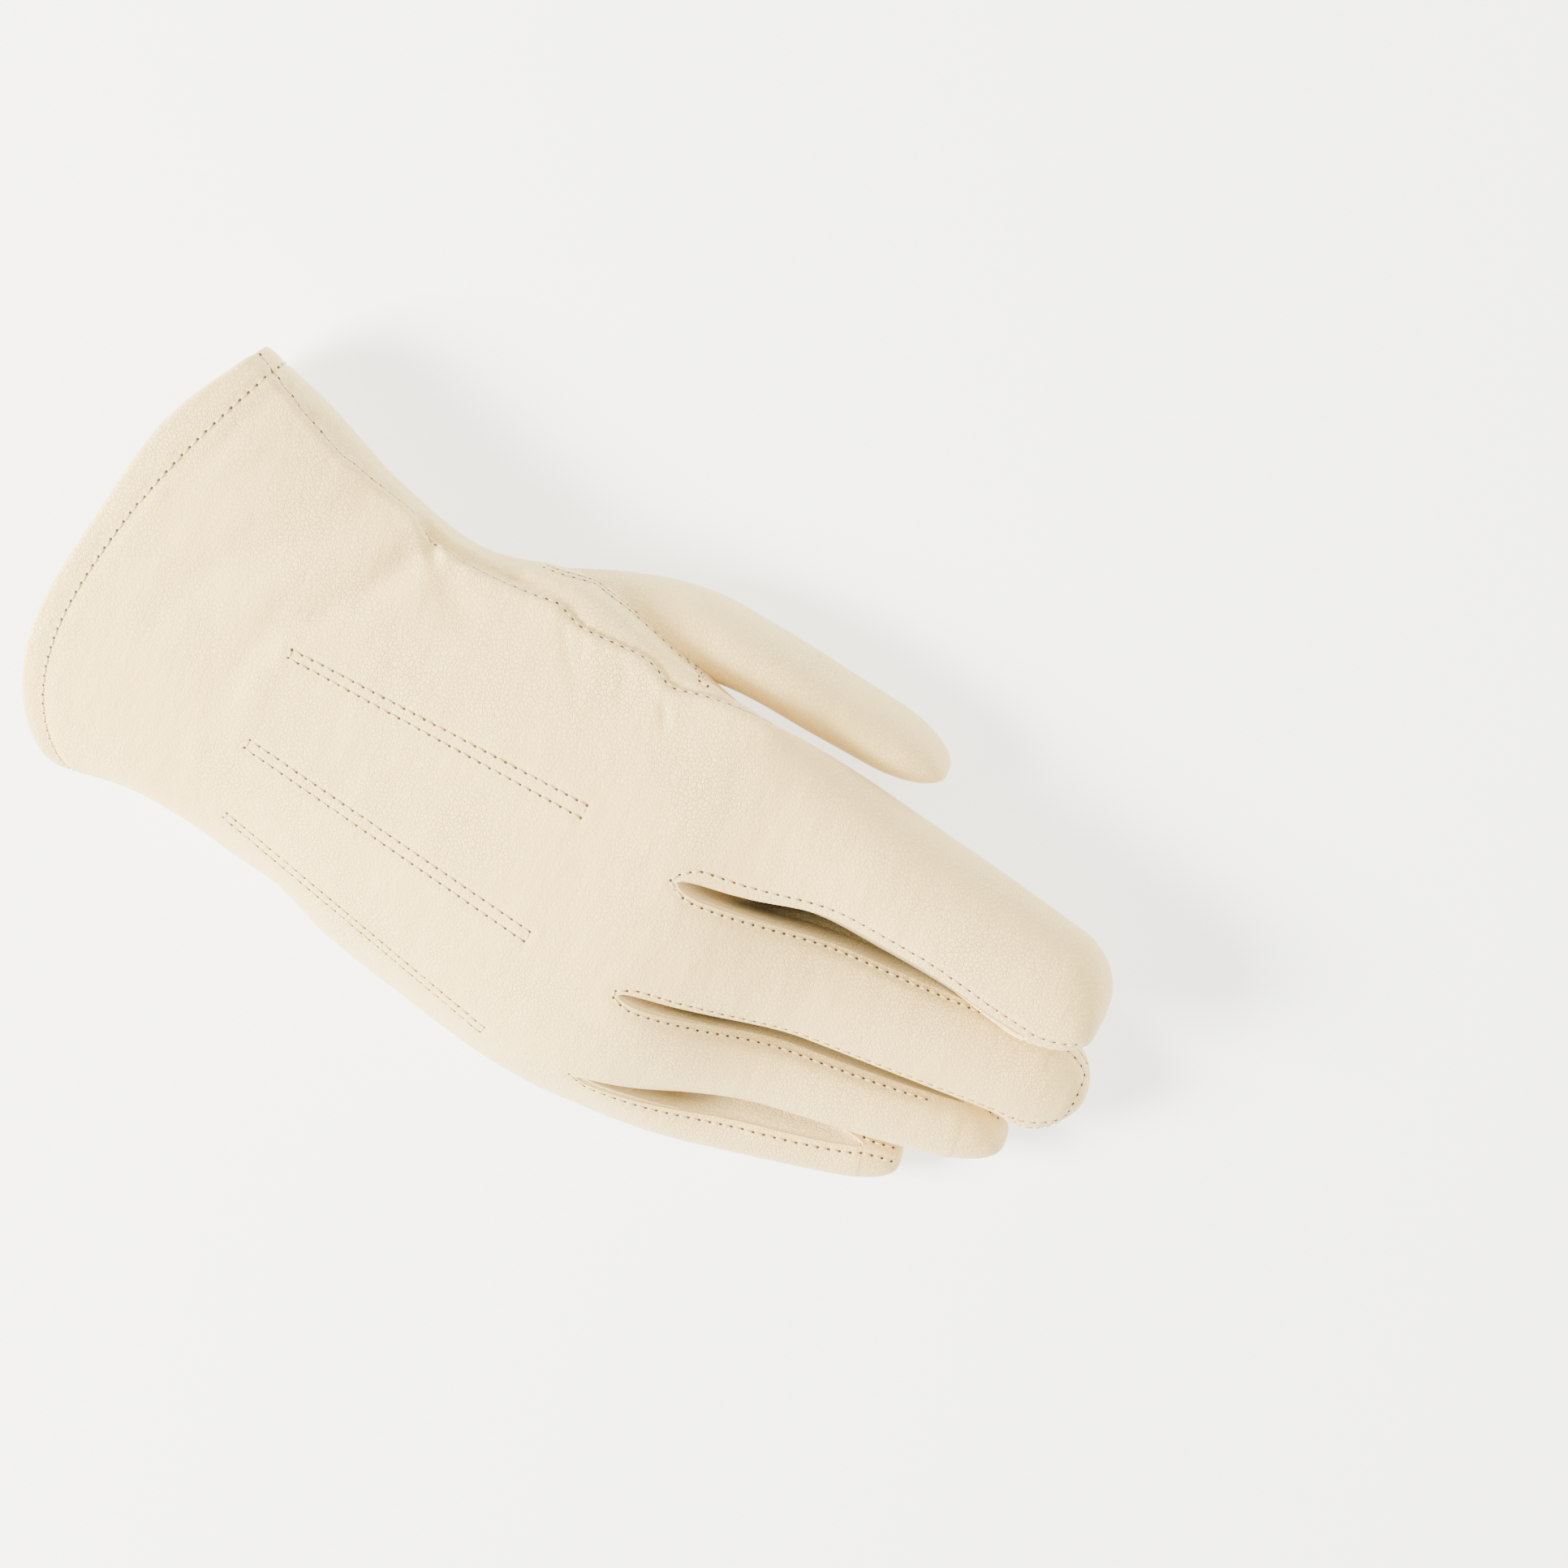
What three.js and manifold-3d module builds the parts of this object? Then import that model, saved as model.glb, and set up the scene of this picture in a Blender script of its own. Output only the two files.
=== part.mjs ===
// A right-hand dress glove of soft cream leather, lying on its palm with the back of the hand up.
// +X runs from the cuff to the fingertips, +Y to the thumb and +Z up off the table. Sizes are in mm.
// The trank is one skin: back and palm, folded at the little finger and sewn up the index side.
// A forked strip, the fourchette, fills the sides between each two fingers, and the thumb is set in.

import * as THREE from 'three';
import Module from 'manifold-3d';

const wasm = await Module();
wasm.setup();

// Leather and seams
const LEATHER = 1.2;          // thickness of the trank and the thumb
const FORK_LEATHER = 1.0;     // thickness of the fourchettes
const SEAM_GAP = 0.3;         // clearance between two pieces of leather
const FORK_CLEARANCE = 0.9;   // and between the edges of the trank and a fourchette
const FORK_SINK = 1.0;        // how far a fourchette lies inside the sides of its fingers
const HEM_TURN = 5.5;         // width of the turned hem at the cuff
const HEM_THICKNESS = 2.2;    // leather doubled at the hem

// Hand
const HAND_LENGTH = 139;      // from the hem at the side of the cuff to the slits of the back
const HAND_WIDTH = 114;       // across the knuckles
const HAND_HEIGHT = 38;       // back of the hand above the table
const CUFF_BOW_BACK = 16.5;   // how far the hem curves out on the back
const CUFF_BOW_PALM = 9;      // and on the palm
const CUFF_LEAN = 0.45;       // the bow is this much fuller towards the little side
const CUFF_SKEW = 2.5;        // how much further the hem reaches on the little side
const FORK_DROP = 18;         // the palm's slits start this much nearer the fingertips
const SLIT_WIDTH = 3.6;       // between the two edges of a slit
const SLIT_START = 8;         // length of the rounded start of a slit
const ROOT_BLEND = 42;        // length over which the hand turns into separate fingers
const REST_ROUNDING = 2;      // softness of the edge of what lies flat on the table

// Fingers, in mm and degrees. taper is the share of the girth that is left at the tip, roll turns
// the finger's back to the little side, and tipLean pulls the tip to the thumb side.
const FINGERS = [
  { name: 'index', length: 101, width: 35, thickness: 25, taper: 0.83, roll: -5, tipLean: -0.4 },
  { name: 'middle', length: 107, width: 29.5, thickness: 25, taper: 0.88, roll: 3, tipLean: 0.0 },
  { name: 'ring', length: 96, width: 19, thickness: 22, taper: 0.84, roll: 28, tipLean: 0.2 },
  { name: 'little', length: 77, width: 15, thickness: 17.5, taper: 0.84, roll: 46, tipLean: 0.3 },
];

// How they lie: gap is the room towards the middle finger, tuck how much of it is taken up at the
// tip, and lift and tipLift are the clearances under root and tip.
const FINGER_PLACES = [
  { gap: 1.0, tuck: 3.6, lift: 7, tipLift: 14 },
  { gap: 0.0, tuck: 0.0, lift: 4, tipLift: 0 },
  { gap: 0.6, tuck: 0.8, lift: 1, tipLift: 0 },
  { gap: 0.4, tuck: 0.8, lift: 0, tipLift: 0 },
];
const MIDDLE_SIDE = 0.095;    // place of the middle finger across the hand, as a share of HAND_WIDTH
const MIDDLE_DRIFT = 5;       // how far the middle fingertip leans towards the thumb
const FORK_SHARE = 0.2;       // straight part of a finger's side, as a share of its thickness
const FORK_TURN = 25;         // where the side strip's seams run on a finger's round side
const FORK_FULL = 0.5;        // the side strip narrows from this share of the finger
const FORK_END = 0.88;        // and is closed here

// Thumb
const THUMB_ROOT = 52;        // the thumb's root from the side of the hem, inside the hand
const THUMB_LENGTH = 130;     // from that root to the thumb's tip
const THUMB_WIDTH = 23;       // it lies on its side, so its width stands up from the table
const THUMB_THICKNESS = 17.5;

// The hand's sections. along is a share of HAND_LENGTH, width, middle and thenar of HAND_WIDTH,
// top, waist, rise and lean of HAND_HEIGHT. waist is the height of the widest line, rise how much
// higher it is on the thumb side, lean moves the crest towards the thumb, and thenar is the
// bulge of the palm at the root of the thumb.
const HAND_SECTIONS = [
  { along: 0.00, width: 1.02, middle: 0.056, top: 0.95, waist: 0.42, rise: 0.06, lean: 0.00, thenar: 0.00 },
  { along: 0.14, width: 0.965, middle: 0.036, top: 0.96, waist: 0.42, rise: 0.09, lean: 0.03, thenar: 0.00 },
  { along: 0.29, width: 0.91, middle: -0.003, top: 0.95, waist: 0.41, rise: 0.13, lean: 0.08, thenar: 0.00 },
  { along: 0.46, width: 0.92, middle: -0.060, top: 0.96, waist: 0.40, rise: 0.18, lean: 0.15, thenar: 0.02 },
  { along: 0.65, width: 0.98, middle: -0.090, top: 0.99, waist: 0.38, rise: 0.26, lean: 0.19, thenar: 0.07 },
  { along: 0.85, width: 1.03, middle: -0.115, top: 1.01, waist: 0.36, rise: 0.31, lean: 0.22, thenar: 0.015 },
  { along: 1.00, width: 1.04, middle: -0.112, top: 1.00, waist: 0.35, rise: 0.32, lean: 0.22, thenar: -0.035 },
  { along: 1.30, width: 0.95, middle: -0.098, top: 0.80, waist: 0.30, rise: 0.26, lean: 0.16, thenar: -0.035 },
];
const BACK_ROUNDNESS = 0.87;  // 1 is a true ellipse, less is squarer
const PALM_ROUNDNESS = 0.95;
const PALM_PRESS = 2.5;       // how far the palm is pressed flat on the table
const CUFF_REACH = 0.32;      // the hem's curve fades out over this share of the hand
const THENAR_TURN = -18;      // the thenar's bulge is centred here, in degrees round the hand
const THENAR_FOCUS = 6;       // how closely it is gathered there

// How a finger narrows: shares of its length, width and thickness.
const FINGER_TAPER = [
  { along: 0.00, width: 1.06, thickness: 1.34 },
  { along: 0.35, width: 1.00, thickness: 1.12 },
  { along: 0.75, width: 0.97, thickness: 0.97 },
  { along: 1.00, width: 0.94, thickness: 0.88 },
];
const END_ROUNDING = 0.15;    // length of the rounded end, as a share of the finger

// The thumb's sections. along is a share of THUMB_LENGTH, side of HAND_WIDTH, lift and width of
// THUMB_WIDTH, thickness of THUMB_THICKNESS. side is the axis's place across the hand.
const THUMB_SECTIONS = [
  { along: 0.00, side: 0.14, lift: 0.30, width: 0.60, thickness: 1.30 },
  { along: 0.20, side: 0.28, lift: 0.20, width: 0.70, thickness: 1.40 },
  { along: 0.36, side: 0.38, lift: 0.07, width: 0.88, thickness: 1.33 },
  { along: 0.48, side: 0.435, lift: 0.00, width: 1.00, thickness: 1.16 },
  { along: 0.60, side: 0.45, lift: 0.00, width: 1.04, thickness: 0.98 },
  { along: 0.76, side: 0.44, lift: 0.00, width: 1.00, thickness: 0.92 },
  { along: 1.00, side: 0.42, lift: 0.00, width: 0.86, thickness: 0.82 },
];
const THUMB_ROUNDING = 0.13;  // length of the thumb's rounded end, as a share of its length

// Round the hand, in degrees from the thumb side over the back.
const SIDE_SEAM = 22;
const BACK_SLITS = [84, 110, 143];
const PALM_SLITS = [279, 250, 217];
const LITTLE_FOLD = 180;

const radians = (degrees) => degrees * Math.PI / 180;
const mix = (a, b, t) => a + (b - a) * t;
const clamp = (t) => Math.min(1, Math.max(0, t));
const ease = (t) => clamp(t) ** 2 * (3 - 2 * clamp(t));
const power = (value, exponent) => Math.sign(value) * Math.abs(value) ** exponent;
const steps = (from, to, count) => (
  Array.from({ length: count + 1 }, (_, i) => mix(from, to, i / count)));

// 1 up to start, then a quarter ellipse down to 0 at end.
const roundOff = (t, start, end) => Math.sqrt(1 - clamp((t - start) / (end - start)) ** 2);

// A smooth curve through one column of a table.
function column(rows, name, along) {
  let i = 0;
  while (i < rows.length - 2 && along > rows[i + 1].along) i += 1;
  const slope = (j) => {
    const a = rows[Math.max(0, j - 1)];
    const b = rows[Math.min(rows.length - 1, j + 1)];
    return (b[name] - a[name]) / (b.along - a.along);
  };
  const step = rows[i + 1].along - rows[i].along;
  const t = clamp((along - rows[i].along) / step);
  const rise = t ** 2 * (3 - 2 * t);
  return mix(rows[i][name], rows[i + 1][name], rise)
    + step * t * (1 - t) * ((1 - t) * slope(i) - t * slope(i + 1));
}

// What would sink below the table lies flat on it.
function rest(point) {
  const r = REST_ROUNDING;
  if (point.z <= -r) point.z = 0;
  else if (point.z < r) point.z = (point.z + r) ** 2 / (4 * r);
  return point;
}

// A point on the outside of the hand. along is a share of HAND_LENGTH, angle in degrees.
function handPoint(along, angle) {
  const row = (name) => column(HAND_SECTIONS, name, along);
  const turn = radians(angle);
  const onBack = Math.sin(turn) >= 0;
  const exponent = onBack ? BACK_ROUNDNESS : PALM_ROUNDNESS;
  const across = power(Math.cos(turn), exponent);
  const up = Math.abs(power(Math.sin(turn), exponent));
  const waist = HAND_HEIGHT * (row('waist') + row('rise') * across);
  const bow = (onBack ? CUFF_BOW_BACK : CUFF_BOW_PALM) * up ** 2 * (1 - CUFF_LEAN * across)
    + CUFF_SKEW * (1 - across) / 2;
  const lean = onBack ? HAND_HEIGHT * row('lean') * up : 0;
  const facing = Math.max(0, Math.cos(turn - radians(THENAR_TURN)));
  const thenar = HAND_WIDTH * row('thenar') * facing ** THENAR_FOCUS;
  return rest(new THREE.Vector3(
    along * HAND_LENGTH - bow * (1 - ease(along / CUFF_REACH)),
    HAND_WIDTH * (row('middle') + row('width') / 2 * across) + lean + thenar,
    mix(waist, onBack ? HAND_HEIGHT * row('top') : -PALM_PRESS, up),
  ));
}

// Half of a finger's width or thickness at a share of its length, without the rounded end.
function halfGirth(finger, name, share) {
  return finger[name] / 2 * column(FINGER_TAPER, name, share) * mix(1, finger.taper, share ** 2);
}

// Half of the room that a rolled finger takes sideways and upwards.
function halfRoom(finger, share) {
  const cos = Math.cos(radians(finger.roll));
  const sin = Math.abs(Math.sin(radians(finger.roll)));
  const half = halfGirth(finger, 'width', share);
  const thick = halfGirth(finger, 'thickness', share);
  const strip = thick * FORK_SHARE * roundOff(share, FORK_FULL, FORK_END);
  return {
    side: Math.hypot(half * cos, (thick - strip) * sin) + strip * sin,
    up: Math.hypot(half * sin, (thick - strip) * cos) + strip * cos,
  };
}

// Where a finger's axis is, at x from the slits. Each finger lies against its neighbour.
function axisSide(k, x) {
  const finger = FINGERS[k];
  if (finger.name === 'middle') {
    return -HAND_WIDTH * MIDDLE_SIDE + MIDDLE_DRIFT * x / finger.length;
  }
  const neighbour = k === 0 ? 1 : k - 1;
  const room = (f) => halfRoom(f, clamp(x / f.length)).side;
  const { gap, tuck } = FINGER_PLACES[k];
  const pitch = room(finger) + gap - tuck * ease(x / finger.length) + room(FINGERS[neighbour]);
  return axisSide(neighbour, x) + (k === 0 ? pitch : -pitch);
}

function axisPoint(k, share) {
  const finger = FINGERS[k];
  const x = share * finger.length;
  const lift = mix(FINGER_PLACES[k].lift, FINGER_PLACES[k].tipLift, share);
  const z = lift + halfRoom(finger, share).up - REST_ROUNDING / 2;
  return new THREE.Vector3(HAND_LENGTH + x, axisSide(k, x), z);
}

// A section's middle, its side axis towards the thumb and its axis towards the finger's back.
function sectionFrame(axis, share, roll) {
  const step = 0.01;
  const forward = axis(share + step).sub(axis(share - step)).normalize();
  const side = new THREE.Vector3(0, 0, 1).cross(forward).normalize();
  side.applyAxisAngle(forward, radians(roll));
  return { middle: axis(share), side, up: forward.clone().cross(side) };
}

// How much of a side has a fourchette: all of it between two fingers, none on the outer sides.
const forkOn = (k, side) => (side === 'thumb' ? k > 0 : k < FINGERS.length - 1);

// A point on a finger, with turn from 0 on its thumb side over its back, in degrees.
function fingerPoint(k, share, turn) {
  const finger = FINGERS[k];
  const frame = sectionFrame((s) => axisPoint(k, s), share, finger.roll);
  const end = roundOff(share, 1 - END_ROUNDING, 1);
  const half = halfGirth(finger, 'width', share) * end;
  const thick = halfGirth(finger, 'thickness', share) * Math.sqrt(end);
  const towardsLittle = (1 - Math.cos(radians(turn))) / 2;
  const strip = thick * FORK_SHARE * roundOff(share, FORK_FULL, FORK_END)
    * mix(forkOn(k, 'thumb') ? 1 : 0, forkOn(k, 'little') ? 1 : 0, towardsLittle);
  const height = Math.sin(radians(turn));
  const onStrip = Math.min(1, Math.max(-1, height / Math.sin(radians(FORK_TURN))));
  const lean = finger.tipLean * halfGirth(finger, 'width', share) * (1 - end);
  return rest(frame.middle.clone()
    .addScaledVector(frame.side, half * Math.cos(radians(turn)) + lean)
    .addScaledVector(frame.up, strip * onStrip + (thick - strip) * height));
}

// The turn of the seam between a finger's back and its side strip.
function seamTurn(k, side, share) {
  return forkOn(k, side) ? FORK_TURN * roundOff(share, FORK_FULL, FORK_END) : 0;
}

// How far round the hand a slit's edge is at x from the start of the slit, in degrees.
function slitOpening(x) {
  return SLIT_WIDTH / HAND_WIDTH * (180 / Math.PI) * roundOff(1 - clamp(x / SLIT_START), 0, 1);
}

// Round the hand, the two edges of finger k's panel of the back or the palm.
function panelEdges(k, face, x) {
  const back = face === 'back';
  const slits = back ? BACK_SLITS : PALM_SLITS;
  const sign = back ? 1 : -1;
  const open = sign * slitOpening(back ? x : x - FORK_DROP);
  const outer = back ? SIDE_SEAM : 360 + SIDE_SEAM;
  return [k === 0 ? outer : slits[k - 1] + open, k === FINGERS.length - 1 ? LITTLE_FOLD : slits[k] - open];
}

// How far a finger's own shape has taken over from the hand's, at x from the back's slits. The
// palm's starts at its own slits, but on the glove's outer sides it goes with the back's.
function blend(k, face, x, across) {
  const inward = Math.min(k === 0 ? 2 * across : 1, k === FINGERS.length - 1 ? 2 - 2 * across : 1);
  const start = face === 'back' ? 0 : FORK_DROP * ease(inward);
  return ease((x - start) / (ROOT_BLEND - start));
}

// The trank's surface on finger k. across runs from 0 on its thumb side to 1 on its little side.
function trankPoint(k, face, share, across) {
  const x = share * FINGERS[k].length;
  const [from, to] = panelEdges(k, face, x);
  const turn = mix(seamTurn(k, 'thumb', share), 180 - seamTurn(k, 'little', share), across);
  const hand = handPoint(1 + x / HAND_LENGTH, mix(from, to, across));
  return hand.lerp(fingerPoint(k, share, face === 'back' ? turn : -turn), blend(k, face, x, across));
}

// The side strip's surface on finger k, down from the back's seam to the palm's.
function forkPoint(k, side, backShare, palmShare, down) {
  const across = side === 'thumb' ? 0 : 1;
  const { length } = FINGERS[k];
  const [back, palm] = [['back', backShare * length], ['palm', palmShare * length]].map(([face, x]) => ({
    hand: handPoint(1 + x / HAND_LENGTH, panelEdges(k, face, x)[across]),
    own: blend(k, face, x, across),
  }));
  const share = mix(backShare, palmShare, down);
  const turn = mix(1, -1, down) * seamTurn(k, side, share);
  const own = fingerPoint(k, share, side === 'thumb' ? turn : 180 - turn);
  return back.hand.lerp(palm.hand, down).lerp(own, mix(back.own, palm.own, down));
}

// The thumb's axis and a point on its outside, with turn from its outer side over its top.
function thumbAxis(share) {
  const row = (name) => column(THUMB_SECTIONS, name, share);
  const z = THUMB_WIDTH * (row('lift') + row('width') / 2) - REST_ROUNDING / 2;
  return new THREE.Vector3(THUMB_ROOT + share * THUMB_LENGTH, HAND_WIDTH * row('side'), z);
}

function thumbPoint(share, turn) {
  const frame = sectionFrame(thumbAxis, share, 0);
  const end = roundOff(share, 1 - THUMB_ROUNDING, 1);
  const thick = THUMB_THICKNESS / 2 * column(THUMB_SECTIONS, 'thickness', share) * end;
  const wide = THUMB_WIDTH / 2 * column(THUMB_SECTIONS, 'width', share) * Math.sqrt(end);
  return rest(frame.middle.clone()
    .addScaledVector(frame.side, thick * Math.cos(radians(turn)))
    .addScaledVector(frame.up, wide * Math.sin(radians(turn))));
}

// A sheet of leather: points and triangles, with equal points merged.
class Sheet {
  constructor() {
    this.points = [];
    this.walls = [];
    this.faces = [];
    this.index = new Map();
  }

  key(point) {
    return point.toArray().map((v) => Math.round(v * 1000)).join();
  }

  add(point, wall = LEATHER) {
    const key = this.key(point);
    if (!this.index.has(key)) {
      this.index.set(key, this.points.length);
      this.points.push(point.clone());
      this.walls.push(wall);
    }
    return this.index.get(key);
  }

  triangle(a, b, c) {
    if (a !== b && b !== c && c !== a) this.faces.push([c, b, a]);
  }

  // Rows of points, joined by squares that are split along their shorter diagonal.
  grid(rows, wallOf = () => LEATHER) {
    const ids = rows.map((row, i) => row.map((point) => this.add(point, wallOf(i))));
    for (let i = 0; i + 1 < ids.length; i += 1) {
      for (let j = 0; j + 1 < ids[i].length; j += 1) {
        const [a, b, c, d] = [ids[i][j], ids[i + 1][j], ids[i + 1][j + 1], ids[i][j + 1]];
        const length = (p, q) => this.points[p].distanceTo(this.points[q]);
        const shorter = length(a, c) <= length(b, d);
        this.triangle(a, b, shorter ? c : d);
        this.triangle(shorter ? a : b, c, d);
      }
    }
  }

  // Closes a ring of points with a fan.
  cap(ring, reversed = false) {
    const sum = ring.reduce((total, point) => total.add(point), new THREE.Vector3());
    const centre = this.add(sum.divideScalar(ring.length));
    const ids = ring.map((point) => this.add(point));
    ids.forEach((id, j) => {
      const next = ids[(j + 1) % ids.length];
      if (reversed) this.triangle(next, centre, id);
      else this.triangle(id, centre, next);
    });
  }

  normals() {
    const sums = this.points.map(() => new THREE.Vector3());
    for (const [a, b, c] of this.faces) {
      const ab = this.points[b].clone().sub(this.points[a]);
      const ac = this.points[c].clone().sub(this.points[a]);
      const normal = ab.cross(ac);
      for (const i of [a, b, c]) sums[i].add(normal);
    }
    return sums.map((normal) => normal.normalize());
  }

  // The sheet's points moved out by outset.
  offset(outset) {
    const normals = this.normals();
    return this.points.map((p, i) => p.clone().addScaledVector(normals[i], outset));
  }

  // Edges that only one triangle has.
  openEdges() {
    const open = new Map();
    for (const [a, b, c] of this.faces) {
      for (const [i, j] of [[a, b], [b, c], [c, a]]) {
        if (open.has(`${j},${i}`)) open.delete(`${j},${i}`);
        else open.set(`${i},${j}`, [i, j]);
      }
    }
    return [...open.values()];
  }

  // A closed leather wall: the sheet, the same sheet further in, and a band round every open edge.
  // Grown, it is larger all round, to cut a neighbour clear of it.
  leather(grown = 0) {
    const normals = this.normals();
    const edges = this.openEdges();
    const count = this.points.length;
    const spread = this.points.map(() => new THREE.Vector3());
    for (const [i, j] of edges) {
      const out = this.points[j].clone().sub(this.points[i]).normalize().cross(normals[i]);
      spread[i].add(out);
      spread[j].add(out);
    }
    const moved = (depth) => this.points.map((p, i) => (
      p.clone().addScaledVector(normals[i], depth(i)).addScaledVector(spread[i].normalize(), grown)));
    const outer = moved(() => grown);
    const inner = moved((i) => -this.walls[i] - grown);
    const walls = this.faces.flatMap(([a, b, c]) => [[a, b, c], [count + c, count + b, count + a]]);
    const bands = edges.flatMap(([i, j]) => [[j, i, count + i], [j, count + i, count + j]]);
    return geometryOf([...outer, ...inner], [...walls, ...bands]);
  }
}

function geometryOf(points, triangles) {
  const geometry = new THREE.BufferGeometry();
  geometry.setAttribute('position', new THREE.Float32BufferAttribute(points.flatMap((p) => p.toArray()), 3));
  geometry.setIndex(triangles.flat());
  return geometry;
}

function solidOf(geometry) {
  const vertProperties = new Float32Array(geometry.attributes.position.array);
  const triVerts = new Uint32Array(geometry.index.array);
  return new wasm.Manifold(new wasm.Mesh({ numProp: 3, vertProperties, triVerts }));
}

// What is left of a geometry when another is cut away, without the slivers that the cut leaves.
function cut(geometry, cutter) {
  const mesh = solidOf(geometry).subtract(solidOf(cutter)).simplify(CUT_TOLERANCE).getMesh();
  const result = new THREE.BufferGeometry();
  result.setAttribute('position', new THREE.BufferAttribute(mesh.vertProperties, 3));
  result.setIndex([...mesh.triVerts]);
  return result;
}

// Fineness of the skins: rows along and columns round each piece.
const HAND_ROWS = 14;
const BACK_COLUMNS = [6, 5, 5, 5];
const PALM_COLUMNS = [6, 4, 4, 5];
const SLIT_ROWS = 4;          // between the back's slits and the palm's
const BODY_ROWS = 5;          // from the palm's slit to where the side strips narrow
const END_STEPS = [0.35, 0.62, 0.8, 0.92, 1]; // rows while they narrow
const TIP_STEPS = [0.6, 0.85, 0.97];          // and in the rounded end
const FORK_COLUMNS = 4;
const THUMB_ROWS = 13;
const THUMB_TIP_STEPS = [0.45, 0.75, 0.96];   // rows in the thumb's rounded end
const THUMB_COLUMNS = 18;
const VOLUME_START = 0.25;    // the hand's volume that cuts the thumb, as a share of the hand
const VOLUME_ROWS = 20;
const VOLUME_COLUMNS = 64;
const CUT_TOLERANCE = 0.05;   // what a cut edge may be smoothed by

// Shares of a finger's length at which it has a row of points.
function fingerShares(k) {
  const slit = FORK_DROP / FINGERS[k].length;
  return [
    ...steps(0, slit, SLIT_ROWS),
    ...steps(slit, FORK_FULL, BODY_ROWS).slice(1),
    ...END_STEPS.map((t) => mix(FORK_FULL, FORK_END, t)),
    ...TIP_STEPS.map((t) => mix(FORK_END, 1, t)),
  ];
}

// The trank: the hand's tube with its hem, then the back and palm of each finger.
function makeTrank() {
  const sheet = new Sheet();
  const angles = [SIDE_SEAM];
  const round = (edges, columns) => columns.forEach((n, k) => {
    angles.push(...steps(edges[k], edges[k + 1], n).slice(1));
  });
  round([SIDE_SEAM, ...BACK_SLITS, LITTLE_FOLD], BACK_COLUMNS);
  round([LITTLE_FOLD, ...PALM_SLITS.toReversed(), 360 + SIDE_SEAM], PALM_COLUMNS.toReversed());
  const hem = HEM_TURN / HAND_LENGTH;
  const alongs = [0, hem, ...steps(hem, 1, HAND_ROWS).slice(1)];
  sheet.grid(alongs.map((along) => angles.map((angle) => handPoint(along, angle))),
    (i) => (alongs[i] <= hem ? HEM_THICKNESS : LEATHER));
  FINGERS.forEach((finger, k) => {
    const shares = fingerShares(k);
    const panel = (face, places) => shares.map((share) => places.map((v) => trankPoint(k, face, share, v)));
    const back = panel('back', steps(0, 1, BACK_COLUMNS[k]));
    const palm = panel('palm', steps(1, 0, PALM_COLUMNS[k]));
    sheet.grid(back);
    sheet.grid(palm);
    sheet.cap([...back.at(-1).slice(0, -1), ...palm.at(-1).slice(0, -1)]);
  });
  return sheet;
}

// A forked strip between fingers k and k + 1: down the side of one, round the crotch, up the other.
// Its edges stop short of the trank's, by more where the two meet at an angle.
function makeFork(k, trank) {
  const sheet = new Sheet();
  const normals = trank.normals();
  const stop = mix(FORK_FULL, FORK_END, END_STEPS.at(-2));
  const edgeInset = (edge, inside, length) => {
    const into = inside.clone().sub(edge).normalize();
    const normal = normals[trank.index.get(trank.key(edge))] ?? into.clone().negate();
    const lean = Math.max(0, -normal.dot(into));
    return (FORK_CLEARANCE + lean * (LEATHER + FORK_LEATHER / 2)) / length;
  };
  const leg = (finger, side) => {
    const slit = FORK_DROP / FINGERS[finger].length;
    const shares = fingerShares(finger).filter((share) => share <= stop);
    const inward = new THREE.Vector3(0, side === 'little' ? FORK_SINK : -FORK_SINK, 0);
    return shares.map((share) => {
      const sunk = ease(share * FINGERS[finger].length / SLIT_START);
      const at = (down) => forkPoint(finger, side, share, mix(slit, stop, share / stop), down)
        .addScaledVector(inward, sunk);
      const length = at(0).distanceTo(at(1));
      const top = edgeInset(at(0), at(0.2), length);
      const bottom = edgeInset(at(1), at(0.8), length);
      return steps(top, 1 - bottom, FORK_COLUMNS).map(at);
    });
  };
  sheet.grid([...leg(k, 'little').reverse(), ...leg(k + 1, 'thumb').slice(1)], () => FORK_LEATHER);
  return cut(sheet.leather(), trank.leather(SEAM_GAP));
}

// The thumb's tube, open at its root inside the hand, or closed there to cut the hand with.
function makeThumb(closed) {
  const sheet = new Sheet();
  const turns = steps(0, 360, THUMB_COLUMNS).slice(0, -1);
  const shares = [
    ...steps(0, 1 - THUMB_ROUNDING, THUMB_ROWS),
    ...THUMB_TIP_STEPS.map((t) => mix(1 - THUMB_ROUNDING, 1, t)),
  ];
  const rows = shares.map((share) => [...turns, 0].map((turn) => thumbPoint(share, turn)));
  sheet.grid(rows);
  sheet.cap(rows.at(-1).slice(0, -1));
  if (closed) sheet.cap(rows[0].slice(0, -1), true);
  return sheet;
}

// The hand's own volume round the root of the thumb.
function makeHandVolume() {
  const sheet = new Sheet();
  const angles = steps(0, 360, VOLUME_COLUMNS);
  const rows = steps(VOLUME_START, 1, VOLUME_ROWS).map((along) => (
    angles.map((angle) => handPoint(along, angle))));
  sheet.grid(rows);
  sheet.cap(rows.at(-1).slice(0, -1));
  sheet.cap(rows[0].slice(0, -1), true);
  return sheet;
}

// A closed sheet's solid, larger by the clearance of a seam.
const grown = (sheet) => geometryOf(sheet.offset(SEAM_GAP), sheet.faces);

const glove = new THREE.Group();
function addPiece(name, geometry, color) {
  const leather = new THREE.MeshStandardMaterial({ color, roughness: 0.6, metalness: 0 });
  const mesh = new THREE.Mesh(geometry, leather);
  mesh.name = name;
  glove.add(mesh);
}

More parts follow.
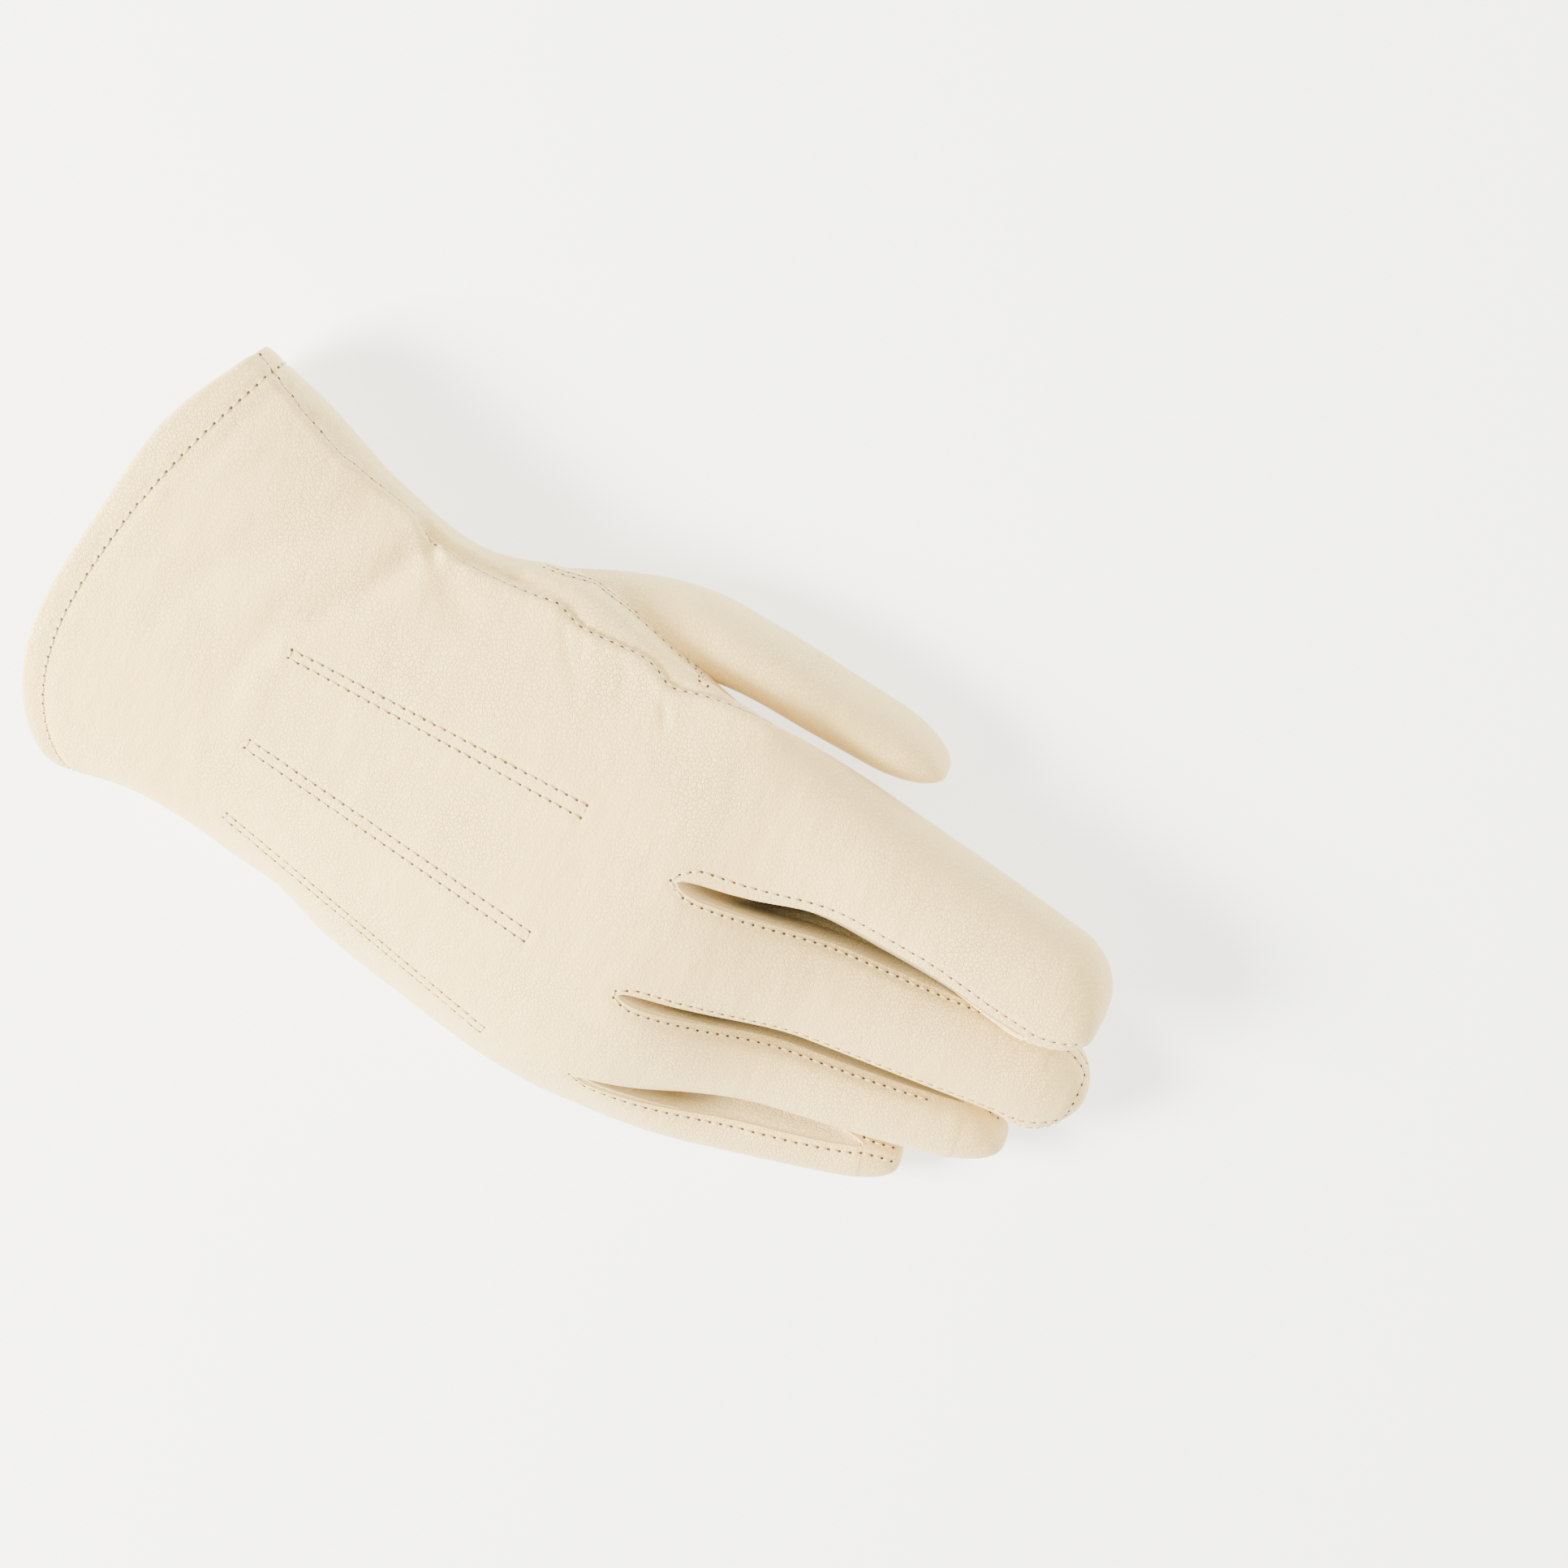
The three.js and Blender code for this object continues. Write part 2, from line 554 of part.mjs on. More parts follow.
const CREAM = 0xefe3cd;
const SHADED_CREAM = 0xe7dac2;
const trank = makeTrank();
addPiece('trank', cut(trank.leather(), grown(makeThumb(true))), CREAM);
FINGERS.slice(0, -1).forEach((finger, k) => {
  addPiece(`fourchette_${finger.name}_${FINGERS[k + 1].name}`, makeFork(k, trank), SHADED_CREAM);
});
addPiece('thumb', cut(makeThumb(false).leather(), grown(makeHandVolume())), CREAM);

// The origin is the middle of the part's footprint, on the table.
const box = new THREE.Box3().setFromObject(glove);
glove.position.set(-(box.min.x + box.max.x) / 2, -(box.min.y + box.max.y) / 2, -box.min.z);

export default glove;
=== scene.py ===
"""A cream leather dress glove for the right hand, lying on its palm.

Every form is written in millimetres in the CAD frame: +X from the cuff to the fingertips, +Y to the
thumb and +Z up off the table. Meshes are in metres.
"""

from __future__ import annotations

import logging
import math
from dataclasses import dataclass, field
from enum import Enum
from typing import Callable, Sequence

import bpy
import numpy as np
from mathutils import Matrix, Vector
from mathutils.bvhtree import BVHTree

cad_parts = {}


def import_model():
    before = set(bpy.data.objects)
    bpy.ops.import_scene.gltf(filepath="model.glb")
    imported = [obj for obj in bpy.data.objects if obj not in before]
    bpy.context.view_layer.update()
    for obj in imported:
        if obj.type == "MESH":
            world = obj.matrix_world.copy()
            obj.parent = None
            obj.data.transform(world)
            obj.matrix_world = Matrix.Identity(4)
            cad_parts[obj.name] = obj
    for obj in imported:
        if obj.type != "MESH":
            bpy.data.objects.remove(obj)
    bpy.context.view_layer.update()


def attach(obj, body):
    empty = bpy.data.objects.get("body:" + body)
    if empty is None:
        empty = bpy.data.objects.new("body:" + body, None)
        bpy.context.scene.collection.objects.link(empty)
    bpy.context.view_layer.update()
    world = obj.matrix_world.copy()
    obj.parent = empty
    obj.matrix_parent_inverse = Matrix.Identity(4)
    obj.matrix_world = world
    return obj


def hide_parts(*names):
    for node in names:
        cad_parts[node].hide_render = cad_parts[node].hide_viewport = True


LOG = logging.getLogger("glove")

Points = np.ndarray
Faces = Sequence[Sequence[int]]
Sheet = tuple[Points, list[tuple[int, ...]]]
Colour = tuple[float, float, float]
Input = float | tuple[float, ...] | bpy.types.NodeSocket
MM = 0.001
EYE = Vector((36.66, 426.158, 1095.6465))  # the camera in the CAD frame
PANEL = 2.2  # a panel's width on the skin over the straight line from its middle to its edge
SIGHT_LIMIT = 14.0  # a place seen further off than this is taken from the nearest surface instead
SHORT_LINE = 12  # a line of no more points than this isn't smoothed
SMOOTHINGS = 3


class Face(Enum):
    """The two faces of the hand and of each finger."""

    BACK = 1
    PALM = -1


class Side(Enum):
    """The two sides of a finger."""

    THUMB = 0
    LITTLE = 1


def clamp(value: Points) -> Points:
    """Limits a value to 0 to 1."""
    return np.clip(value, 0.0, 1.0)


def ease(value: Points) -> Points:
    """Smooth step from 0 to 1."""
    value = clamp(np.asarray(value, float))
    return value * value * (3 - 2 * value)


def mix(low: Points, high: Points, share: Points) -> Points:
    """Between two values."""
    return low + (high - low) * share


def round_off(value: Points, start: float, end: float) -> Points:
    """1 up to start, then a quarter ellipse down to 0 at end."""
    return np.sqrt(1 - clamp((np.asarray(value, float) - start) / (end - start)) ** 2)


def unit(vectors: Points) -> Points:
    """Vectors of length 1.

    Args:
        vectors: rows of x, y, z.

    Returns:
        The same directions at length 1.
    """
    return vectors / np.maximum(np.linalg.norm(vectors, axis=-1, keepdims=True), 1e-12)


class Table:
    """A table of sizes along a form, with a smooth curve through each column."""

    def __init__(self, names: str, rows: Sequence[Sequence[float]]) -> None:
        """Keeps each column by its name.

        Args:
            names: the columns' names, the first of which is the place along the form.
            rows: one row for each place.
        """
        values = np.array(rows, float)
        self.columns = dict(zip(names.split(), values.T))
        self.along = values[:, 0]

    def at(self, name: str, along: Points) -> Points:
        """Reads one column.

        Args:
            name: the column.
            along: places along the form.

        Returns:
            The column's smooth value at each place.
        """
        places, values = self.along, self.columns[name]
        along = np.asarray(along, float)
        last = len(places) - 1
        i = np.searchsorted(places[1:-1], along)
        low, high = np.maximum(np.arange(last + 1) - 1, 0), np.minimum(np.arange(last + 1) + 1, last)
        slope = (values[high] - values[low]) / (places[high] - places[low])
        step = places[i + 1] - places[i]
        t = clamp((along - places[i]) / step)
        return mix(values[i], values[i + 1], t * t * (3 - 2 * t)) + step * t * (1 - t) * (
            (1 - t) * slope[i] - t * slope[i + 1]
        )


@dataclass(frozen=True)
class Finger:
    """One finger's sizes in mm, its roll in degrees and how it lies by its neighbour.

    thumb_seam and little_seam are the turns, in degrees, of the seams between its back and its side
    strips, and thumb_join and little_join those where each strip has run out.
    """

    name: str
    length: float
    width: float
    thickness: float
    taper: float
    roll: float
    tip_lean: float
    gap: float
    tuck: float
    lift: float
    tip_lift: float
    thumb_seam: float
    little_seam: float
    thumb_join: float
    little_join: float


@dataclass(frozen=True)
class GloveForm:
    """The glove's form, the same as its solids: the hand, its four fingers and the thumb."""

    origin: tuple[float, float, float] = (-113.35, 4.09, 0.0)
    leather: float = 1.2
    hand_length: float = 139
    hand_width: float = 114
    hand_height: float = 38
    cuff_bow_back: float = 16.5
    cuff_bow_palm: float = 9
    cuff_lean: float = 0.45
    cuff_skew: float = 2.5
    cuff_reach: float = 0.32
    fork_drop: float = 18
    slit_width: float = 3.6
    slit_start: float = 8
    root_blend: float = 42
    rest_rounding: float = 2
    middle_side: float = 0.095
    middle_drift: float = 5
    fork_share: float = 0.2
    fork_turn: float = 25
    fork_full: float = 0.5
    fork_end: float = 0.88
    end_rounding: float = 0.15
    index_gap: float = 1.5
    gap_begins: float = 0.16
    gap_opens: float = 0.2
    gap_ends: float = 0.82
    gap_closes: float = 0.26
    gap_edge: float = 2.2
    gap_way: tuple[float, float, float] = (0.25, 1.0, 0.0)
    thumb_root: float = 52
    thumb_length: float = 130
    thumb_width: float = 23
    thumb_thickness: float = 17.5
    thumb_rounding: float = 0.13
    back_roundness: float = 0.87
    palm_roundness: float = 0.95
    palm_press: float = 2.5
    thenar_turn: float = -18
    thenar_focus: float = 6
    side_seam: float = 22
    back_slits: tuple[float, ...] = (84, 110, 143)
    palm_slits: tuple[float, ...] = (279, 250, 217)
    little_fold: float = 180
    fingers: tuple[Finger, ...] = (
        Finger("index", 101, 35, 25, 0.83, -5, -0.4, 1.0, 3.6, 7, 14, 0, 42, 0, 32),
        Finger("middle", 107, 29.5, 25, 0.88, 3, 0.0, 0.0, 0.0, 4, 0, 28, 34, 20, 28),
        Finger("ring", 96, 19, 22, 0.84, 28, 0.2, 0.6, 0.8, 1, 0, 6, 25, 0, 0),
        Finger("little", 77, 15, 17.5, 0.84, 46, 0.3, 0.4, 0.8, 0, 0, 20, 0, 14, 0),
    )
    hand_table: Table = Table(
        "along width middle top waist rise lean thenar",
        [
            (0.00, 1.02, 0.056, 0.95, 0.42, 0.06, 0.00, 0.00),
            (0.14, 0.965, 0.036, 0.96, 0.42, 0.09, 0.03, 0.00),
            (0.29, 0.91, -0.003, 0.95, 0.41, 0.13, 0.08, 0.00),
            (0.46, 0.92, -0.060, 0.96, 0.40, 0.18, 0.15, 0.02),
            (0.65, 0.98, -0.090, 0.99, 0.38, 0.26, 0.19, 0.07),
            (0.85, 1.03, -0.115, 1.01, 0.36, 0.31, 0.22, 0.015),
            (1.00, 1.04, -0.112, 1.00, 0.35, 0.32, 0.22, -0.035),
            (1.30, 0.95, -0.098, 0.80, 0.30, 0.26, 0.16, -0.035),
        ],
    )
    taper_table: Table = Table(
        "along width thickness",
        [(0.00, 1.06, 1.34), (0.35, 1.00, 1.12), (0.75, 0.97, 0.97), (1.00, 0.94, 0.88)],
    )
    thumb_table: Table = Table(
        "along side lift width thickness",
        [
            (0.00, 0.14, 0.30, 0.60, 1.30),
            (0.20, 0.28, 0.20, 0.70, 1.40),
            (0.36, 0.38, 0.07, 0.88, 1.33),
            (0.48, 0.435, 0.00, 1.00, 1.16),
            (0.60, 0.45, 0.00, 1.04, 0.98),
            (0.76, 0.44, 0.00, 1.00, 0.92),
            (1.00, 0.42, 0.00, 0.86, 0.82),
        ],
    )

    def placed(self, points: Points) -> Points:
        """Moves points from the hem's own frame to the CAD frame."""
        return points + np.array(self.origin)

    def rest(self, points: Points) -> Points:
        """Lays flat on the table what would sink below it.

        Args:
            points: rows of x, y, z, changed in place.

        Returns:
            The same points.
        """
        r, z = self.rest_rounding, points[..., 2]
        points[..., 2] = np.where(z <= -r, 0.0, np.where(z < r, (z + r) ** 2 / (4 * r), z))
        return points

    def hand(self, along: Points, angle: Points) -> Points:
        """Points on the outside of the hand.

        Args:
            along: shares of the hand's length from the hem.
            angle: degrees round the hand, from the thumb side over the back.

        Returns:
            Rows of x, y, z in the hem's frame.
        """
        along, angle = np.broadcast_arrays(np.asarray(along, float), np.asarray(angle, float))
        turn = np.radians(angle)
        back = np.sin(turn) >= -1e-12
        exponent = np.where(back, self.back_roundness, self.palm_roundness)
        across = np.sign(np.cos(turn)) * np.abs(np.cos(turn)) ** exponent
        up = np.abs(np.sin(turn)) ** exponent

        def row(name: str) -> Points:
            """One column of the hand's table at these places."""
            return self.hand_table.at(name, along)

        waist = self.hand_height * (row("waist") + row("rise") * across)
        bow = np.where(back, self.cuff_bow_back, self.cuff_bow_palm) * up**2
        bow = bow * (1 - self.cuff_lean * across) + self.cuff_skew * (1 - across) / 2
        lean = np.where(back, self.hand_height * row("lean") * up, 0.0)
        facing = np.maximum(0, np.cos(turn - math.radians(self.thenar_turn)))
        thenar = self.hand_width * row("thenar") * facing**self.thenar_focus
        top = np.where(back, self.hand_height * row("top"), -self.palm_press)
        points = np.stack(
            [
                along * self.hand_length - bow * (1 - ease(along / self.cuff_reach)),
                self.hand_width * (row("middle") + row("width") / 2 * across) + lean + thenar,
                mix(waist, top, up),
            ],
            axis=-1,
        )
        return self.rest(points)

    def half_girth(self, finger: Finger, name: str, share: Points) -> Points:
        """Half of a finger's width or thickness, without its rounded end."""
        half = getattr(finger, name) / 2 * self.taper_table.at(name, share)
        return half * mix(1, finger.taper, np.asarray(share) ** 2)

    def half_room(self, finger: Finger, share: Points) -> tuple[Points, Points]:
        """Half of the room that a rolled finger takes.

        Args:
            finger: the finger.
            share: shares of its length.

        Returns:
            Half of the room sideways and half of the room upwards.
        """
        cos, sin = math.cos(math.radians(finger.roll)), abs(math.sin(math.radians(finger.roll)))
        half = self.half_girth(finger, "width", share)
        thick = self.half_girth(finger, "thickness", share)
        strip = thick * self.fork_share * round_off(share, self.fork_full, self.fork_end)
        side = np.hypot(half * cos, (thick - strip) * sin) + strip * sin
        return side, np.hypot(half * sin, (thick - strip) * cos) + strip * cos

    def axis_side(self, k: int, x: Points) -> Points:
        """Where a finger's axis is across the hand.

        Args:
            k: the finger, from the index.
            x: distances from the slits.

        Returns:
            Its places across the hand.
        """
        finger = self.fingers[k]
        if finger.name == "middle":
            return -self.hand_width * self.middle_side + self.middle_drift * x / finger.length
        neighbour = 1 if k == 0 else k - 1
        own = self.half_room(finger, clamp(x / finger.length))[0]
        other_finger = self.fingers[neighbour]
        other = self.half_room(other_finger, clamp(x / other_finger.length))[0]
        pitch = own + finger.gap - finger.tuck * ease(x / finger.length) + other
        return self.axis_side(neighbour, x) + (pitch if k == 0 else -pitch)

    def axis_point(self, k: int, share: Points) -> Points:
        """Points on a finger's axis.

        Args:
            k: the finger, from the index.
            share: shares of its length.

        Returns:
            Rows of x, y, z in the hem's frame.
        """
        finger = self.fingers[k]
        x = share * finger.length
        lift = mix(finger.lift, finger.tip_lift, share)
        z = lift + self.half_room(finger, share)[1] - self.rest_rounding / 2
        return np.stack([self.hand_length + x, self.axis_side(k, x), z], axis=-1)

    @staticmethod
    def section(
        axis: Callable[[Points], Points], share: Points, roll: float
    ) -> tuple[Points, Points, Points]:
        """A section across an axis.

        Args:
            axis: the axis, as a function of shares of its length.
            share: where the section is.
            roll: its turn round the axis in degrees.

        Returns:
            Its middle, its side axis towards the thumb and its axis towards the back.
        """
        step = 0.01
        forward = unit(axis(share + step) - axis(share - step))
        side = unit(np.cross(np.array([0.0, 0.0, 1.0]), forward))
        up = np.cross(forward, side)
        turn = math.radians(roll)
        rolled = side * math.cos(turn) + up * math.sin(turn)
        return axis(share), rolled, np.cross(forward, rolled)

    def fork_on(self, k: int, side: Side) -> bool:
        """Whether a side of finger k has a fourchette."""
        return k > 0 if side is Side.THUMB else k < len(self.fingers) - 1

    def finger(self, k: int, share: Points, turn: Points) -> Points:
        """Points on a finger's own shape.

        Args:
            k: the finger, from the index.
            share: shares of its length.
            turn: degrees round it, from its thumb side over its back.

        Returns:
            Rows of x, y, z in the hem's frame.
        """
        share, turn = np.broadcast_arrays(np.asarray(share, float), np.asarray(turn, float))
        finger = self.fingers[k]
        middle, side, up = self.section(lambda s: self.axis_point(k, s), share, finger.roll)
        end = round_off(share, 1 - self.end_rounding, 1)
        half = self.half_girth(finger, "width", share) * end
        thick = self.half_girth(finger, "thickness", share) * np.sqrt(end)
        to_little = (1 - np.cos(np.radians(turn))) / 2
        fork = mix(self.fork_on(k, Side.THUMB) * 1.0, self.fork_on(k, Side.LITTLE) * 1.0, to_little)
        strip = thick * self.fork_share * round_off(share, self.fork_full, self.fork_end) * fork
        height = np.sin(np.radians(turn))
        on_strip = np.clip(height / math.sin(math.radians(self.fork_turn)), -1, 1)
        lean = finger.tip_lean * self.half_girth(finger, "width", share) * (1 - end)
        sideways = half * np.cos(np.radians(turn)) + lean
        upwards = strip * on_strip + (thick - strip) * height
        return self.rest(middle + side * sideways[..., None] + up * upwards[..., None])

    def seam_turn(self, k: int, side: Side, face: Face, share: Points) -> Points:
        """Where the seam between a finger's back or palm and its side strip is.

        Args:
            k: the finger, from the index.
            side: which of its sides.
            face: back or palm.
            share: shares of its length.

        Returns:
            The seam's turns round the finger in degrees.
        """
        finger = self.fingers[k]
        join = finger.thumb_join if side is Side.THUMB else finger.little_join
        seam = self.fork_turn
        if face is Face.BACK:
            seam = finger.thumb_seam if side is Side.THUMB else finger.little_seam
        if not self.fork_on(k, side):
            seam = join = 0.0
        return mix(face.value * join, seam, round_off(share, self.fork_full, self.fork_end))

    def panel_edges(self, k: int, face: Face, x: Points) -> tuple[Points, Points]:
        """The two edges of a finger's panel, where it leaves the hand.

        Args:
            k: the finger, from the index.
            face: back or palm.
            x: distances from the slits.

        Returns:
            The edges in degrees round the hand.
        """
        back = face is Face.BACK
        slits = self.back_slits if back else self.palm_slits
        run = x if back else x - self.fork_drop
        open_ = self.slit_width / self.hand_width * 180 / math.pi
        open_ = face.value * open_ * round_off(1 - clamp(run / self.slit_start), 0, 1)
        outer = self.side_seam if back else 360 + self.side_seam
        first = outer + 0 * x if k == 0 else slits[k - 1] + open_
        last = self.little_fold + 0 * x if k == len(self.fingers) - 1 else slits[k] - open_
        return first, last

    def blend(self, k: int, face: Face, x: Points, across: Points) -> Points:
        """How far a finger's own shape has taken over from the hand's.

        Args:
            k: the finger, from the index.
            face: back or palm.
            x: distances from the slits.
            across: 0 on its thumb side to 1 on its little side.

        Returns:
            0 for the hand's shape to 1 for the finger's.
        """
        inward = np.minimum(
            2 * across if k == 0 else 1.0, 2 - 2 * across if k == len(self.fingers) - 1 else 1.0
        )
        start = 0.0 if face is Face.BACK else self.fork_drop * ease(inward)
        return ease((x - start) / (self.root_blend - start))

    def drawn(self, k: int, share: Points, near: Points) -> Points:
        """How far the index's edge is drawn away from the middle finger.

        Args:
            k: the finger, from the index.
            share: shares of its length.
            near: 1 at the edge to 0 inside it.

        Returns:
            Moves in mm, none for the other fingers.
        """
        opened = ease((share - self.gap_begins) / self.gap_opens)
        part = opened * ease((self.gap_ends - share) / self.gap_closes) * ease(near)
        return (part * self.index_gap * (k == 0))[..., None] * np.array(self.gap_way)

    def trank(self, k: int, face: Face, share: Points, across: Points) -> Points:
        """The trank's surface on finger k.

        Args:
            k: the finger, from the index.
            face: back or palm.
            share: shares of the finger's length.
            across: 0 on its thumb side to 1 on its little side.

        Returns:
            Rows of x, y, z in the hem's frame.
        """
        share, across = np.broadcast_arrays(np.asarray(share, float), np.asarray(across, float))
        x = share * self.fingers[k].length
        low, high = self.panel_edges(k, face, x)
        thumb_turn = self.seam_turn(k, Side.THUMB, face, share)
        turn = mix(thumb_turn, 180 - self.seam_turn(k, Side.LITTLE, face, share), across)
        hand = self.hand(1 + x / self.hand_length, mix(low, high, across))
        own = self.finger(k, share, face.value * turn)
        near = 1 - self.gap_edge * (1 - across) if face is Face.BACK else 0 * across
        return mix(hand, own, self.blend(k, face, x, across)[..., None]) + self.drawn(k, share, near)

    def fork(self, k: int, side: Side, share: Points, palm: Points, down: Points) -> Points:
        """The side strip's surface on a finger.

        Args:
            k: the finger, from the index.
            side: which of its sides.
            share: shares of its length at the back's seam.
            palm: shares of its length at the palm's seam.
            down: 0 at the back's seam to 1 at the palm's.

        Returns:
            Rows of x, y, z in the hem's frame.
        """
        share, palm, down = np.broadcast_arrays(share, palm, down)
        length = self.fingers[k].length
        across = np.full(share.shape, float(side.value))
        ends, weights = [], []
        for face, at in ((Face.BACK, share), (Face.PALM, palm)):
            x = at * length
            edge = self.panel_edges(k, face, x)[side.value]
            ends.append(self.hand(1 + x / self.hand_length, edge))
            weights.append(self.blend(k, face, x, across))
        at = mix(share, palm, down)
        top, bottom = (self.seam_turn(k, side, face, at) for face in Face)
        turn = mix(top, -bottom, down)
        own = self.finger(k, at, turn if side is Side.THUMB else 180 - turn)
        hand = mix(ends[0], ends[1], down[..., None])
        near = 1 - down if side is Side.LITTLE else 0 * down
        return mix(hand, own, mix(weights[0], weights[1], down)[..., None]) + self.drawn(k, at, near)

    def thumb_axis(self, share: Points) -> Points:
        """Points on the thumb's axis.

        Args:
            share: shares of the thumb's length.

        Returns:
            Rows of x, y, z in the hem's frame.
        """
        lift, width = self.thumb_table.at("lift", share), self.thumb_table.at("width", share)
        z = self.thumb_width * (lift + width / 2) - self.rest_rounding / 2
        y = self.hand_width * self.thumb_table.at("side", share)
        return np.stack([self.thumb_root + share * self.thumb_length, y, z], axis=-1)

    def thumb(self, share: Points, turn: Points) -> Points:
        """Points on the thumb.

        Args:
            share: shares of its length.
            turn: degrees round it, from its outer side over its top.

        Returns:
            Rows of x, y, z in the hem's frame.
        """
        share, turn = np.broadcast_arrays(np.asarray(share, float), np.asarray(turn, float))
        middle, side, up = self.section(self.thumb_axis, share, 0)
        end = round_off(share, 1 - self.thumb_rounding, 1)
        thick = self.thumb_thickness / 2 * self.thumb_table.at("thickness", share) * end
        wide = self.thumb_width / 2 * self.thumb_table.at("width", share) * np.sqrt(end)
        sideways, upwards = thick * np.cos(np.radians(turn)), wide * np.sin(np.radians(turn))
        return self.rest(middle + side * sideways[..., None] + up * upwards[..., None])


def normals_of(surface: Callable[[Points, Points], Points], u: Points, v: Points) -> Points:
    """A surface's directions across it, from small steps along it.

    Args:
        surface: the surface, as a function of two places.
        u: places along it.
        v: places across it.

    Returns:
        Unit vectors, right-handed in u and v.
    """
    step = 1e-3
    along = surface(u + step, v) - surface(u - step, v)
    across = surface(u, v + step) - surface(u, v - step)
    return unit(np.cross(along, across))


class Skin:
    """A sheet of leather in the making: grids of points whose equal points are merged."""

    def __init__(self) -> None:
        """Starts with no points."""
        self.blocks: list[Points] = []
        self.quads: list[Points] = []
        self.fans: list[tuple[int, Points]] = []
        self.count = 0
        self.first: Points = np.zeros(0, int)

    def add(self, points: Points) -> Points:
        """Adds points.

        Args:
            points: a grid or a row of x, y, z.

        Returns:
            Their numbers, in the same layout.
        """
        flat = points.reshape(-1, 3)
        self.blocks.append(flat)
        ids = np.arange(self.count, self.count + len(flat)).reshape(points.shape[:-1])
        self.count += len(flat)
        return ids

    def grid(self, points: Points) -> None:
        """Joins rows of points by four-sided faces.

        Args:
            points: the rows, one below the other.
        """
        ids = self.add(points)
        corners = [ids[:-1, :-1], ids[:-1, 1:], ids[1:, 1:], ids[1:, :-1]]
        self.quads.append(np.stack(corners, axis=-1).reshape(-1, 4))

    def cap(self, ring: Points, tip: Points) -> None:
        """Closes a ring of points with a fan.

        Args:
            ring: the ring, without its first point again at the end.
            tip: the fan's middle.
        """
        ids = self.add(ring)
        centre = int(self.add(tip[None, :])[0])
        self.fans.append((centre, ids))

    def merged(self) -> Sheet:
        """The sheet, with equal points merged and flat faces dropped.

        Returns:
            Its points in mm and its faces.
        """
        points = np.concatenate(self.blocks)
        _, first, inverse = np.unique(
            np.round(points, 3), axis=0, return_index=True, return_inverse=True
        )
        inverse = inverse.reshape(-1)
        self.first = first
        faces: list[tuple[int, ...]] = []
        for quad in inverse[np.concatenate(self.quads)].tolist():
            corners = tuple(dict.fromkeys(quad))
            if len(corners) > 2:
                faces.append(corners)
        for centre, ids in self.fans:
            hub, rim = int(inverse[centre]), inverse[ids].tolist()
            for a, b in zip(rim, rim[1:] + rim[:1]):
                if a != b:
                    faces.append((hub, a, b))
        return points[first], faces


def surface_normals(points: Points, faces: Faces) -> Points:
    """Smooth normals at the points of a mesh.

    Args:
        points: its points.
        faces: corners of each face.

    Returns:
        One direction for each point.
    """
    mesh = bpy.data.meshes.new("normals")
    mesh.from_pydata(points.tolist(), [], faces)
    mesh.update()
    found = np.zeros(len(points) * 3, np.float32)
    mesh.vertex_normals.foreach_get("vector", found)
    bpy.data.meshes.remove(mesh)
    return found.reshape(-1, 3).astype(float)


def new_piece(name: str, points: Points, faces: Faces) -> bpy.types.Object:
    """Makes an object from points in mm.

    Args:
        name: the piece's name.
        points: rows of x, y, z in mm, in the CAD frame.
        faces: corners of each face.

    Returns:
        The new object, at the origin.
    """
    mesh = bpy.data.meshes.new(name)
    mesh.from_pydata((points * MM).tolist(), [], faces)
    mesh.update()
    piece = bpy.data.objects.new(name, mesh)
    bpy.context.scene.collection.objects.link(piece)
    return piece


def only(piece: bpy.types.Object) -> None:
    """Selects one object and makes it the active one.

    Args:
        piece: the object.
    """
    bpy.ops.object.select_all(action="DESELECT")
    piece.select_set(True)
    bpy.context.view_layer.objects.active = piece


def give_wall(piece: bpy.types.Object, thickness: float) -> None:
    """Gives a sheet its leather thickness, inwards.

    Args:
        piece: the sheet.
        thickness: the wall in mm.
    """
    only(piece)
    wall = piece.modifiers.new("wall", "SOLIDIFY")
    wall.thickness = thickness * MM
    wall.offset = -1
    wall.use_even_offset = False
    bpy.ops.object.modifier_apply(modifier=wall.name)
    for vertex in piece.data.vertices:
        vertex.co.z = max(vertex.co.z, 0.0)
    bpy.ops.object.shade_smooth_by_angle(angle=math.radians(50))


